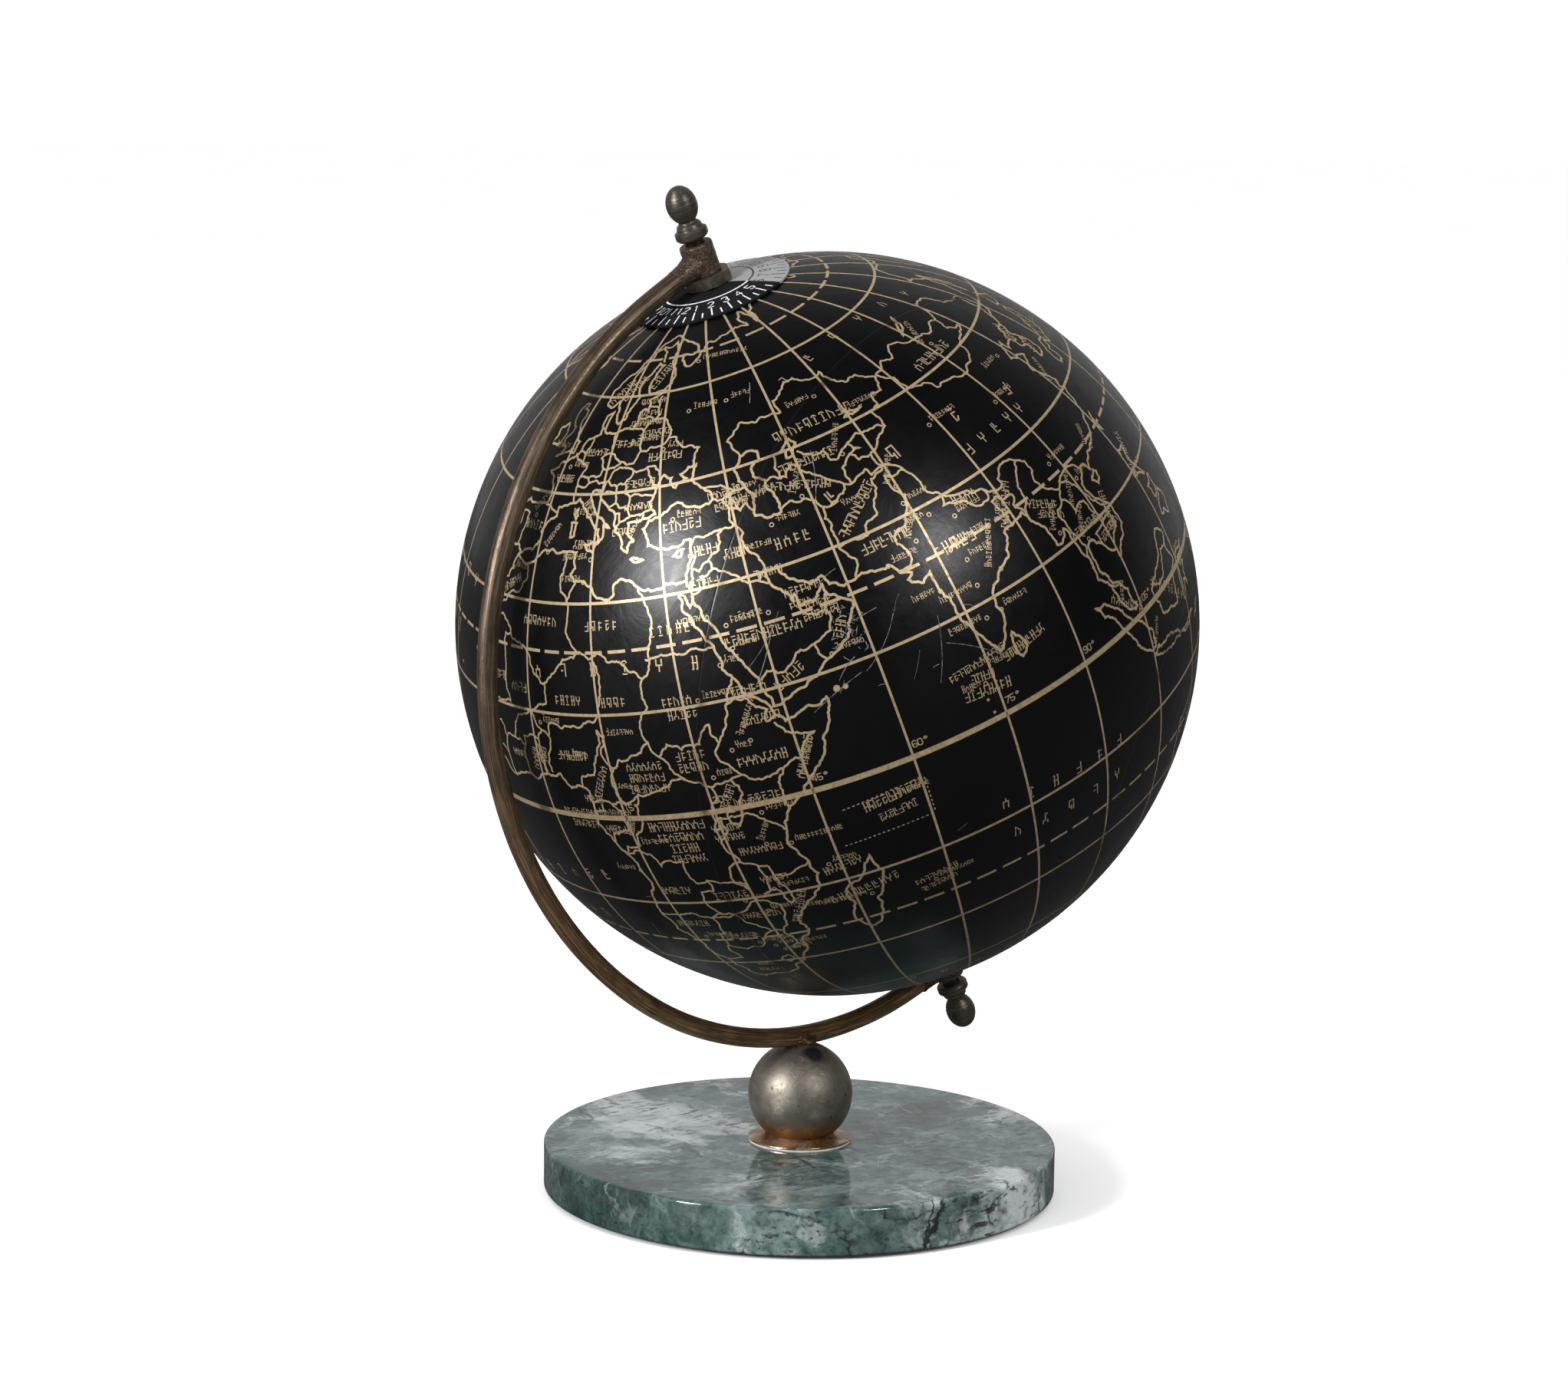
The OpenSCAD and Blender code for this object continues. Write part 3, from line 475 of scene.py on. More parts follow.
BORDERS = """
-2.2 35.1 -1.7 33 -3.6 30.9 -8.7 28.8 -8.7 27.3 -12 26 -13 21.3 -17 21
-8.7 27.7 -13.1 27.7
-8.7 27.3 -4.8 25 -6.5 25 -5.5 16.5 -5.3 15.5 -9.5 15.5 -12.2 14.8 -14.5 16.6 -16.5 16
-12.2 14.8 -11.4 12.4 -16.7 12.4
-15 11 -13.7 12.6 -11.4 12.4 -9 12.3 -8 10.2 -8.5 7.6 -7.5 4.4
-13.3 9.2 -11 10 -10.5 8.5 -11.3 7
-10.5 8.5 -8.5 7.6
-8 10.2 -5.5 10.4 -2.8 9.7 -3 5.1
-5.5 10.4 -4 13.3 -2 14.2 .2 15 2.2 12.4 .9 11 -2.8 11 -2.8 9.7
0 11 .6 8 1.2 6.1
.9 11 1.6 6.3
2.2 12.4 3.6 11.7 2.7 9 2.7 6.3
-4.8 25 1.2 21.1 3.2 19.1 4.2 19.1 12 23.5
4.2 19.1 4.2 16.5 .2 15
12 23.5 9.5 26.2 9.9 30 9.5 30.3 7.5 33.5 8.3 35 8.3 37
9.5 30.3 10.3 31.7 11.5 33.1
12 23.5 14.2 22.6 16 23.4 24 19.5 25 20 25 31.6
25 22 37 22
15 23 15.5 17 13.5 14 10 13.3 7 13 4.1 13.5 3.6 11.7
24 19.5 24 15.7 22 13 22.8 11 25 8 27.4 5.1 22.5 4 18.6 3.6 16 2.2 14.5 5 15.5 7.5 19 9 22.8 11
15.5 7.5 14 10 15 12 14 13
14 13 13.2 9.5 11.5 6.5 9.2 6.3 8.6 4.8
16 2.2 13.2 2.2 9.8 2.3
9.8 1 11.3 1 11.3 2.2
13.2 2.2 14.4 1.2 14.5 -2 11.5 -2.5 11.1 -3.9
18.6 3.6 17.7 0 16.2 -2.2 15.3 -4.3 13 -4.6 12.3 -5.8
24 8.7 25.8 10.4 28 9.4 31 9.8 32.5 12 33.2 12.2 34 9.5 36.1 12.7 36.5 14.3 38.6 18
27.4 5.1 29.5 4.4 30.8 3.6 34 4.2 35.9 4.6 33 8 34 9.5
36.5 14.3 40 14.5 42.4 12.5 41.8 11 43.2 11.4
42.8 10.6 44 9 47 8 48 8 45 5 42 4.2 41 3 41 -1.8
35.9 4.6 38 3.6 39.8 3.5 42 4.2
34 4.2 35 1.8 34 0 34 -1 37.6 -3 39.2 -4.6
30.8 3.6 31.2 2.2 29.7 0 29.6 -1.3 29 -2.7 29.3 -4.4 30.7 -3.4 30.5 -1 34 -1
29 -2.7 30.6 -2.4
29.6 -1.3 30.5 -1
29.3 -4.4 29.5 -6.5 30.7 -8.4 33 -9.4 34.3 -9.7 34.6 -11.6 37.5 -11.7 40.4 -10.5
30.7 -8.4 28.7 -9 28.4 -11.9 29.8 -12.2 29.8 -13.4 27.2 -11.7 24 -10.9 22 -11.2 21.8 -7.3 19.5 -7 17.5 -8.1 16.5 -5.9
 12.5 -5.9
24 -10.9 24 -13 22 -13 22 -16.2 23.4 -17.6 18.5 -17.4 14 -17.4 11.8 -17.2
23.4 -17.6 25.3 -17.8 28.8 -16 30.4 -15.6 30.2 -14.9 33.2 -14 33.3 -12.4 33 -9.4
33.2 -14 34.5 -14.5 35.3 -17 35.9 -16 35.8 -14.7 34.6 -11.6 34.9 -12.5
30.4 -15.6 32.9 -16.7 32.8 -19.7 31.3 -22.4 31.9 -25.9 32.9 -26.9
25.3 -17.8 27.7 -20.5 29.4 -22.2 31.3 -22.4
25.3 -17.8 21 -18.3 21 -22 20 -22 20 -28.4 17.4 -28.7 16.5 -28.6
20 -24.8 22.6 -26 25.5 -25.7 27 -23.7 29.4 -22.2
31.9 -25.9 30.8 -26.8 32.1 -26.8
27 -29.6 28.7 -28.6 29.4 -29.6 28.2 -30.6 27 -29.6
31.8 -.5 33.8 .2 34 -1.2 33 -2.6 31.9 -2.2 31.8 -.5
34.3 31.3 34.9 29.5 35.5 31.5 35.6 33.2 36.5 34.3 36 34.6
35 29.4 37 30 37.5 31 36.9 31.5 39.2 32.2 42 31.1 44.7 29.2 46.5 29.1 47.7 28.5 48.4 28.5
46.5 29.1 47.5 30
35.6 32.7 36.8 32.3 38.8 33.4 41 34.5 41.3 36.5 42.4 37.1 40.5 37 38 36.8 36.7 36.8 36 36
38.8 33.4 39.2 32.2
42.4 37.1 44.6 37.2 44.5 39.7 43.5 41.1 41.5 41.5
44.6 37.2 46 35.8 45.5 34 47.5 32.3 48 30
44.5 39.7 46.5 38.9 48 39.7 48.9 38.4
43.5 41.1 45 41.3 46.5 41.9 48.5 41.8
45 41.3 45.5 40.5 46.5 38.9
40 43.4 42.5 43.2 44.5 42.7 46.5 41.9
42.8 16.4 44 17.4 47 17 49 18.6 52 19 53.1 16.7
52 19 55 20 55.7 22 55.2 22.7 55.8 24.2 56.4 24.9
51.6 24.2 52.6 22.9 55.2 22.7
53.9 37.3 56 38 59 37.5 61.2 35.6 60.7 34 61 31.5 60.9 29.8 62.8 27.3 61.6 25.2
60.9 29.8 66.3 29.8 66.5 31 69.4 31.9 70 33.7 71.5 35 71.5 36.4 74.5 37.1
61.2 35.6 64 35.7 66.5 37.4 68 37 70 37.6 71.5 38 72 36.9 74.8 37.3 77.8 35.5 79 32.5 81 30.2 84 29 86.5 28 88.1 27.9
 89 27 92 26.9 91.8 27.8 95 29.2 97.3 28.3 98.7 27.5 97.7 24.5 99.3 22.5 101 21.6 102 22.4 105 23.2 108 21.6
66.5 37.4 64 39 62 40.3 60 42.2 58.5 42.7 57 41.3 54 42.1 52.5 41.8
56 41.3 56 45 58.6 45.5
61 44.3 62 43.5 66 42.9 66.5 41.2 68 41 70 42 71 42.3 74 43.2 79 42.8 80.2 42.2 80.4 43 80 45 82.3 45.3 83 47.2 85.5 47
 87.3 49.1
80.2 42.2 77 41 74 39.5 71.5 39.6 70.5 40.9 73 41 71 42.3
68 37 67.8 39.5 70.5 40.9
74 39.5 74.8 37.3
49 46.2 48 47.7 47 49.2 48.8 50 51.5 51.5 55 50.7 58.5 51 61.5 50.8 61 53 65 54.4 69 55.3 71 54.2 73.5 53.8 76.5 54.3
 80 50.8 83.5 51 87.3 49.1 92 50.7 95 50 98 52 99 51.8 102.5 50.5 107 50 110 49.2 114 50.2 116.7 49.8 119.9 52.7
 121 53.3 125.5 53 127.5 50 130.5 48.9 134.7 48.3 133 45 131.2 43.5 130.7 42.4 128.2 41.6 126.5 41.5 124.4 40
116.7 49.8 115.7 47.8 119.7 46.8 116 45.7 112 45 111.5 43.6 108 42.4 105 41.6 100 42.6 96.4 42.7 95 44.3 91 45.2
 90.5 47.5 87.8 49.2
126.7 37.8 128.3 38.5
68.3 23.7 71 24.4 70 28 72.5 28.7 74.6 31 75.3 32.4 74 34 74 36 77.8 35.5
88.1 27.9 88.1 26.4 85 26.7 80.2 28.7 81 30.2
89 21.8 88.8 24 88.2 25.8 89.8 26 90 25.2 92.3 25 91.3 23.8 92.5 22 92.3 21
97.3 28.3 95 26.3 94 23.9 92.6 22
101 21.6 99.9 20.3 98 19.5 98 17 99.2 13.5 98.7 10.2
102 22.4 104 20.8 105 19 107.5 15.7 107.5 12.3 105 10.7
99.9 20.3 101 19.5 101 17.6 104 18.2 105.5 15 105.5 14.3 102.4 13.6 102.6 12
105.5 14.3 107.5 14.4
100.1 6.5 101.8 5.9
109.7 2 111.5 1 114 1.5 115.8 4.3 117.8 4.2
141 -2.6 141 -9.1
-8.8 41.9 -6.4 41.7 -7 39 -7.3 37.3
-1.7 43.3 1 42.7 3.1 42.4
7.5 43.8 7 45 6.8 46 7 47.5 8.2 49 6.3 49.5 4.2 50 2.6 51
7 47.5 9.5 47.5 10.4 46.6 9 46 6.8 46
3.4 51.3 6 51 6.3 49.5
6 51 7 52.3 7 53.3
8.7 54.9 10 54.8
14.3 53.9 14.6 52 15 51 12.2 50.3 13.8 48.7 17 48.7 18.8 49.5 16.5 50.4 15 51
9.6 47.4 13 47.6 13.8 48.7
10.4 46.6 13.7 46.5 16.2 46.9 17 48.1 20.5 48.5 22.8 48 21 46.2 18.8 45.9 16.2 46.9
18.8 49.5 22.5 49.1 24 50.8 23.6 52 23.9 54 22.8 54.4 20 54.4
13.7 45.5 15.3 45.5 16.2 46.9
16 45.2 19 44.9 19.2 43.5 17.6 43
18.8 45.9 19 44.9
21 46.2 21.4 44.8 22.7 44.2 22.5 42.3 23 41.3 26.3 41.7 26.1 40.8
19.2 43.5 20.3 42.8 22.5 42.3
19.4 41.9 20.5 42 20.7 40.8 23 41.3
20.7 40.8 20 39.7
26.3 41.7 28 42
22.7 44.2 27 44.1 28.6 43.8
22.8 48 26.5 48.2 28.2 46 28.2 45.4 29.6 45.3
26.5 48.2 28.5 48.2 30 46.4
24 50.8 30.5 51.3 31.8 52.2 34 52 35.5 50.4 40 49.6 38.2 47.1
23.9 54 26.5 55.6 31 55 32.5 53.3 31.8 52.2
21 56.1 25 56.2 26.5 55.6 28.2 56.2 27.4 57.5 24.3 57.9
27.4 57.5 28 59.4
28 60.5 31.5 62.8 30 64.5 29 67 28.8 69 31 69.6
11.3 59 12.3 61.3 12.2 63.5 14.5 65.5 16.5 68 20.5 69 24 68.7 27.5 70 28.8 69
24.2 65.8 23.5 67.8 20.5 69
-123 49 -95 49 -89 48 -83 46 -82.5 42.5 -79 43 -75 45 -70.5 45.5 -67.5 47 -67 45
-141 69.7 -141 60.3 -135 59 -130.5 56
-117 32.6 -111 31.3 -106.5 31.8 -101 29.8 -97.3 26
-92.2 14.6 -91 17.8 -89 17.8
-51.7 4.2 -54.5 2.3 -60 4.5 -64.5 4 -67 1.5 -70 0 -70 -4.3 -74 -7.5 -70.5 -9.6 -65.3 -10 -60 -14 -58 -19 -57.7 -22
 -54.5 -24 -53.8 -27 -57.6 -30.2 -53.5 -33.7
-72 11.5 -72.5 7.5 -67.5 6 -67 1.5
-80.3 -3.4 -78.5 -5 -75.3 -.1 -70 -4.3
-78.7 1.4 -75.3 -.1
-70.4 -18.3 -69 -15 -69 -11
-69.5 -17.5 -67.5 -22.8 -68.5 -27 -70 -33 -71.3 -39 -72 -45 -73 -50 -68.5 -52.3
-67.5 -22.8 -62.5 -22.2 -58.2 -20
-62.5 -22.2 -58 -27.3 -54.5 -25.6
"""

# Labels: longitude, latitude, letter height in tenths of a mm, number of marks, gap between marks in tenths, turn in degrees.
# The marks stand for names and can't be read.
LABELS = """
17 27 24 5 18 0/3 27.5 24 7 13 0/30 25.5 24 5 22 0/9 17 24 5 13 0/18 16.7 24 4 16 0/-2.5 18 24 4 10 0/8 9.2 24 7 8 0
18 21.3 34 6 85 0/29 16 24 5 10 0/29.5 14.2 24 5 10 0/29 8.5 24 5 10 0/29 6.8 24 5 10 0/21 7.6 22 7 9 0/21 6 22 7 9 0
21 4.4 22 8 9 0/23 -1.5 26 10 8 0/23 -3.3 26 8 8 0/23 -5.1 26 5 8 0/23 -6.9 24 7 6 0/39.5 6.3 26 8 8 0
45.5 5 24 7 10 62/38 .9 25 5 10 0/34.5 -6.8 22 8 8 0/17.5 -12.5 24 6 9 0/26.5 -14 24 6 9 0/16.5 -19.4 22 7 7 0
23.5 -22.6 22 8 6 0/29.5 -18.4 22 8 5 0/23 -30.4 20 5 5 0/23 -32.4 20 6 5 0/46.8 -17.5 26 10 12 8/34.5 -12 20 6 5 0
36 -18 22 10 5 64/45 22.3 26 12 8 0/47 16 26 5 10 26/56.5 20 24 4 6 60/54 33 28 4 20 0/44 33.6 26 4 9 0
34.5 39 27 6 9 0/38 35 25 5 8 0/37 30.6 24 6 6 0/33 26 22 3 8 0/67 47.6 28 10 14 0/62 42.6 24 10 6 0
59 39.6 22 12 4 -18/66.5 33.6 26 11 5 40/68.5 28.2 28 8 7 0/78.5 23.7 32 5 18 0/84.3 28.4 24 5 6 -6
99 33.5 30 5 42 0/103.5 46.8 28 8 10 0/96 58.5 26 6 90 0/86 38.5 40 4 190 0/90 24.4 22 10 5 50/96.2 21.6 22 7 6 -30
96.5 19.8 20 7 5 -30/101.3 15.4 24 8 6 0/105.6 12.8 22 8 5 10/107.8 15 22 7 6 70/102.5 2.6 24 8 14 -40
114 -.8 24 9 22 -40/81.5 7.6 24 9 7 8/73.5 4.3 26 8 8 -6/73.5 6.3 22 5 5 -6/73.5 8.2 20 14 5 6/55.5 -4.2 27 10 7 6
55.5 -6.6 22 8 5 6/57.8 -19.3 20 9 7 8/57.8 -21 18 9 5 8/45 -12.5 24 7 7 8/82 -13.5 32 6 62 -4/82 -19 32 5 70 -4
12.5 38 22 5 8 0/31 49.5 22 7 6 -4/19.5 52.3 22 6 5 0/10 51.2 20 7 4 0/2 47.2 20 6 4 0/-3.7 40.3 24 5 9 0
15 61.5 22 6 8 58/10 61 22 6 8 58/26 63.5 22 7 8 60/28 53.4 20 7 5 0/25 46 20 7 5 0/24.7 56.8 18 6 5 0
25.3 58.8 18 7 5 0/24 55.3 18 9 4 0/21.7 39.4 18 6 4 0/25 42.7 18 8 4 0/12.7 43 18 5 5 -50/44 42 20 7 5 0
45 40.2 20 7 5 0/48 40.6 20 9 5 0/-6.5 31.8 22 7 5 30/-10 19 22 10 5 0/1.6 8.8 18 4 4 80/-.8 8 20 5 5 80
-5 8.2 20 5 5 0/12.4 5.4 22 8 5 60/10 2.9 20 5 5 0/6.3 .6 20 11 4 0/6.3 -1.2 20 8 4 0/12.3 -1.8 22 5 5 0
15.3 -1.2 22 5 5 62/32.6 1.7 22 6 5 58/30.8 -2.6 20 7 4 0/30.8 -4.2 20 7 4 0/41 11.6 22 8 5 0/40.5 15.8 22 7 5 0
31.5 -26.6 16 9 4 8/53 26.4 22 7 6 0/52 24.6 18 5 6 0/54.5 22.6 20 8 4 0/54.5 24.2 20 6 4 0/48.4 29.9 20 6 5 0
127 40.4 20 5 8 60/127.6 37 20 5 8 60/138 36.5 24 5 22 40/122 17 22 10 6 60/-10 -12 34 8 60 6/-13 -21 34 5 60 6
-100 40 34 6 60 0/-106 56 34 6 70 0/-102 24 26 6 14 -40/-55 -10 34 6 60 0/-65 -35 26 9 10 70/-74 4 24 8 8 60
-76 -10 24 4 12 -60/-65 -17 24 7 8 0/-71 -30 20 5 22 82/-66 7.5 22 9 6 0/-42 70 30 9 12 60/134 -25 36 9 60 0
-30 30 36 8 70 0/-40 22 36 5 80 0/-150 10 40 7 90 0/-150 2 40 5 90 0/150 -40 28 6 40 0/172 -42 22 10 6 50
-20 -50 36 8 80 0/75 -50 34 8 80 0/105 -62 30 8 60 0/30 -76 34 10 60 0/160 30 36 7 70 0/145 -6 22 9 6 -30
"""

# Towns: longitude, latitude, number of marks, and the side of the ring on which they stand
TOWNS = """
37.6 55.8 6 r/49 55.8 5 r/41 64.5 11 r/71 51 6 l/75 46.8 8 r/69.2 41.3 8 u/88 39 8 r/103.8 36 7 r/102.7 25 7 r
116 40 6 l/106.9 48 9 u/77.2 28.6 5 l/81 26.8 7 r/85.3 23.4 6 l/77.4 23.2 6 r/79 21 6 r/78.5 17.4 9 l/88.3 22.6 7 u
73 26.3 7 u/74.3 31.5 6 r/74.8 34 8 u/69.2 34.5 5 l/67 24.9 7 r/72.8 19 6 l/80.3 13 7 r/77.6 13 9 l/83.3 17.7 12 u
54 17 7 r/51.4 35.7 6 r/44.4 33.3 7 r/32.8 40 6 r/46.7 24.7 6 l/39.8 21.4 5 r/39.6 24.5 6 r/32.9 25.7 5 r
37.2 19.6 4 r/32.5 15.6 8 r/38.7 9 10 u/35.6 8.2 4 r/45.3 2 9 u/36.8 -1.3 7 r/32.6 .3 7 r/39.3 -6.8 12 r
35.7 -6.2 6 u/13.2 -8.8 6 l/15.3 -4.3 8 r/9.5 .4 10 r/7.5 9 5 r/15 12.1 8 r/2.1 13.5 6 r/3 36.8 7 u/13.2 32.9 6 l
14.5 35.9 8 l/28.3 -15.4 6 r/31 -17.8 6 r/17 -22.5 7 r/25.9 -24.6 8 r/28.2 -25.7 8 r/32.6 -26 6 r/47.5 -18.9 12 l
55.5 -4.6 8 r/43.2 -11.7 6 r/36.5 -18.5 6 r/57.5 -20.2 9 r/33.8 -13.9 8 r/18.6 4.4 6 l/31.6 4.9 4 r/30.5 50.5 4 r
21 52.2 6 r/24 38 6 u/44.8 41.7 6 r/49.9 40.4 4 r/58.4 38 9 u/96 17 7 u/102.6 18 9 u/105.8 21 5 r/100.5 13.8 7 u
106.7 -6.2 7 u/101.7 3.1 5 u/79.9 6.9 7 l/73.5 5.2 5 l/2.3 48.9 5 r/-3.7 41.6 6 u/-6.8 34 5 r/12.5 42 4 l
-0 51.5 6 l/114.2 22.3 6 u/121.5 31.2 8 u/126 39 6 u/139.7 35.7 5 r/121 14.6 6 r/-74 40.7 7 r/-77 39 9 l
-99 19.4 6 r/-58.4 -34.6 6 r/-43.2 -23 6 r/-77 -12 4 r/-70.7 -33.5 6 r/151 -34 6 r/145 -37.8 7 r/174.8 -37 7 r
"""

# Patterns for the marks on a grid 4 wide and 6 high, as strokes of grid points. None is a letter.
MARKS = (
    "00 06 43 40",
    "06 46 40;23 03",
    "00 04 44 40;24 26",
    "16 10;05 45;02 42",
    "06 03 43 46;23 20",
    "00 40 46;03 33",
    "03 43;06 16 10 00;36 46 40 30",
    "40 46 06 02 22;20 23",
    "10 14 44;06 46;42 20",
    "06 00 40;43 23 26",
    "00 02 22 26 46;40 42",
    "05 16 36 45;21 25;00 40",
)
DIGITS = {
    "0": "10 01 05 16 36 45 41 30 10",
    "1": "15 26 20",
    "2": "05 16 36 45 44 00 40",
    "3": "05 16 36 45 44 33 23;33 42 41 30 10 01",
    "4": "30 36 02 42",
    "5": "46 06 03 33 42 41 30 10 01",
    "6": "45 36 16 05 01 10 30 41 42 33 13 02",
    "7": "06 46 10",
    "8": "13 04 05 16 36 45 44 33 13 02 01 10 30 41 42 33",
    "9": "01 10 30 41 45 36 16 05 04 13 33 44",
    "o": "15 26 36 45 34 24 15",
}


def print_place(lon, lat):
    """Direction of a printed place in the globe's frame. The print is stretched a little, turned and set askew on the ball."""
    lat = lat * 1.0735 + 0.485
    if abs(lat) > 77.5:
        lat = math.copysign(77.5 + (abs(lat) - 77.5) * 0.65, lat)
    a, b = math.radians(lon + 182.4), math.radians(lat)
    flat = Vector((math.cos(b) * math.cos(a), math.cos(b) * math.sin(a), math.sin(b)))
    return PRINT_LEAN @ flat


PRINT_LEAN = Matrix.Rotation(math.radians(1.4), 3, (0.62, -0.79, 0))
CHANCE = random.Random(7)


def wander(places, share=0.17, least=0.5):
    """The places joined by a line that wanders like a coast, down to steps of least degrees."""
    out = [places[0]]
    for a, b in zip(places, places[1:]):
        narrow = max(0.2, math.cos(math.radians((a[1] + b[1]) / 2)))
        dx, dy = (b[0] - a[0]), (b[1] - a[1])
        size = math.hypot(dx * narrow, dy)
        if size <= least:
            out.append(b)
            continue
        bend = CHANCE.uniform(-1, 1) * share
        middle = (a[0] + dx / 2 - dy * bend / narrow, a[1] + dy / 2 + dx * narrow * bend)
        out += wander([a, middle], share, least)[1:] + wander([middle, b], share, least)[1:]
    return out


def read_lines(text):
    """Lists of (longitude, latitude) from lines of numbers; a line that starts with a space goes on from the one before."""
    for line in text.strip().replace("\n ", " ").split("\n"):
        numbers = [float(n) for n in line.split()]
        yield list(zip(numbers[::2], numbers[1::2]))


def strokes(pattern):
    for stroke in pattern.split(";"):
        yield [(int(p[0]), int(p[1])) for p in stroke.split()]


def write(ribbons, patterns, at, east, north, height, gap, width, turn=0, narrow=1.0, lead=1.0):
    """Draws patterns in a row centred on a direction. Lengths are in mm, and turn is anticlockwise. The first is lead times as tall."""
    unit = height / 6
    step = 4 * unit * narrow + gap
    angle = math.radians(turn)
    along = east * math.cos(angle) + north * math.sin(angle)
    upward = north * math.cos(angle) - east * math.sin(angle)
    start = -(len(patterns) - 1) * step / 2
    for i, pattern in enumerate(patterns):
        for stroke in strokes(pattern):
            path = []
            for x, y in stroke:
                u = start + i * step + (x - 2) * unit * narrow
                v = (y * (lead if i == 0 else 1) - 3) * unit
                path.append((at * ribbons.radius + along * u + upward * v).normalized())
            ribbons.line(path, width)


def make_map():
    """The printed map as three sets of thin foil lines."""
    net = Ribbons(GLOBE_R + 0.022)
    for lon in range(0, 360, 15):
        net.line([print_place(lon, lat) for lat in range(-75, 76, 2)], 0.62)
    for lat in range(-75, 76, 15):
        width = 1.5 if lat == 0 else 0.74
        net.line([print_place(lon, lat) for lon in range(0, 360, 2)], width, closed=True)
    for lat in (66.5, 23.45, -23.45, -66.5):
        around = 2 * math.pi * GLOBE_R * math.cos(math.radians(lat * 1.0735))
        dashes = round(around / 7.2)
        for i in range(dashes):
            turn = 360 / dashes
            net.line([print_place((i + t * 0.74) * turn, lat) for t in (0, 0.34, 0.67, 1)], 0.8)
    for places in ([(48, -4), (56, -3.3), (60.5, -3.3), (60.5, -9)], [(46.5, -9.5), (53, -9.2), (60.5, -9)]):
        for a, b in zip(places, places[1:]):
            dots = round(math.dist(a, b) / 0.75)
            for i in range(dots):
                ends = [(a[0] + (b[0] - a[0]) * t, a[1] + (b[1] - a[1]) * t) for t in (i / dots, (i + 0.5) / dots)]
                net.line([print_place(*e) for e in ends], 0.3)

    land = Ribbons(GLOBE_R + 0.03)
    for text, width in ((COASTS, 0.64), (BORDERS, 0.54)):
        for places in read_lines(text):
            loop = places[0] == places[-1]
            path = [print_place(*p) for p in wander(places)]
            land.line(path[:-1] if loop else path, width, closed=loop)
    for lon, lat, radius in ((53, 12.5, 0.9), (54.3, 12.4, 0.7), (73, 3, 0.4), (73.3, 1, 0.4), (-24, 15, 0.6), (-25, 17, 0.5)):
        land.dot(print_place(lon, lat), radius)

    names = Ribbons(GLOBE_R + 0.038)
    for entry in LABELS.strip().replace("\n", "/").split("/"):
        lon, lat, height, count, gap, turn = [float(n) for n in entry.split()]
        at = print_place(lon, lat)
        east = (print_place(lon + 0.5, lat) - print_place(lon - 0.5, lat)).normalized()
        height /= 10
        patterns = [CHANCE.choice(MARKS) for _ in range(int(count))]
        tight = 0.62 if gap <= 22 else 1
        write(names, patterns, at, east, at.cross(east), height * 0.96, gap / 10 * tight, height * 0.105, turn, 0.7)
    for entry in TOWNS.strip().replace("\n", "/").split("/"):
        lon, lat, count, side = entry.split()
        lon, lat, count = float(lon), float(lat), int(count)
        at = print_place(lon, lat)
        east = (print_place(lon + 0.5, lat) - print_place(lon - 0.5, lat)).normalized()
        north = at.cross(east)
        names.ring(at, 0.5, 0.25)
        length = count * 1.06
        sideways, turn = {"r": (length / 2 + 1.2, 0), "l": (-length / 2 - 1.2, 0), "u": (0.6, 58)}[side]
        lift = 1.0 if side != "u" else length / 2 + 0.8
        middle = (at * GLOBE_R + east * sideways + north * lift).normalized()
        patterns = [CHANCE.choice(MARKS) for _ in range(count)]
        write(names, patterns, middle, east, north, 1.35, 0.38, 0.175, turn, 0.75, 1.4)
    for lon in range(15, 360, 15):
        shown = min(lon, 360 - lon)
        at = print_place(lon + 1.6, 1.7)
        east = (print_place(lon + 2, 1.7) - print_place(lon + 1, 1.7)).normalized()
        write(names, [DIGITS[c] for c in str(shown) + "o"], at, east, at.cross(east), 1.7, 0.3, 0.27)
    return net.mesh("map_grid"), land.mesh("map_land"), names.mesh("map_names")


# ---------------------------------------------------------------- finishes

# The seams run along 13 degrees east and every 30 degrees from there
SEAM_SHIFT = 6.5 - (13 + 182.4) / 30 % 1


def from_seam(look, x, y):
    """Distance in mm from the nearest of the twelve seams between the paper gores."""
    turn = look.math("MULTIPLY", look.math("ARCTAN2", y, x), 12 / (2 * math.pi))
    off = look.math("ABSOLUTE", look.math("SUBTRACT", look.math("FRACT", look.math("ADD", turn, SEAM_SHIFT)), 0.5))
    rho = look.math("SQRT", look.math("ADD", look.math("MULTIPLY", x, x), look.math("MULTIPLY", y, y)))
    return look.math("MULTIPLY", off, look.math("MULTIPLY", rho, 2 * math.pi / 12))


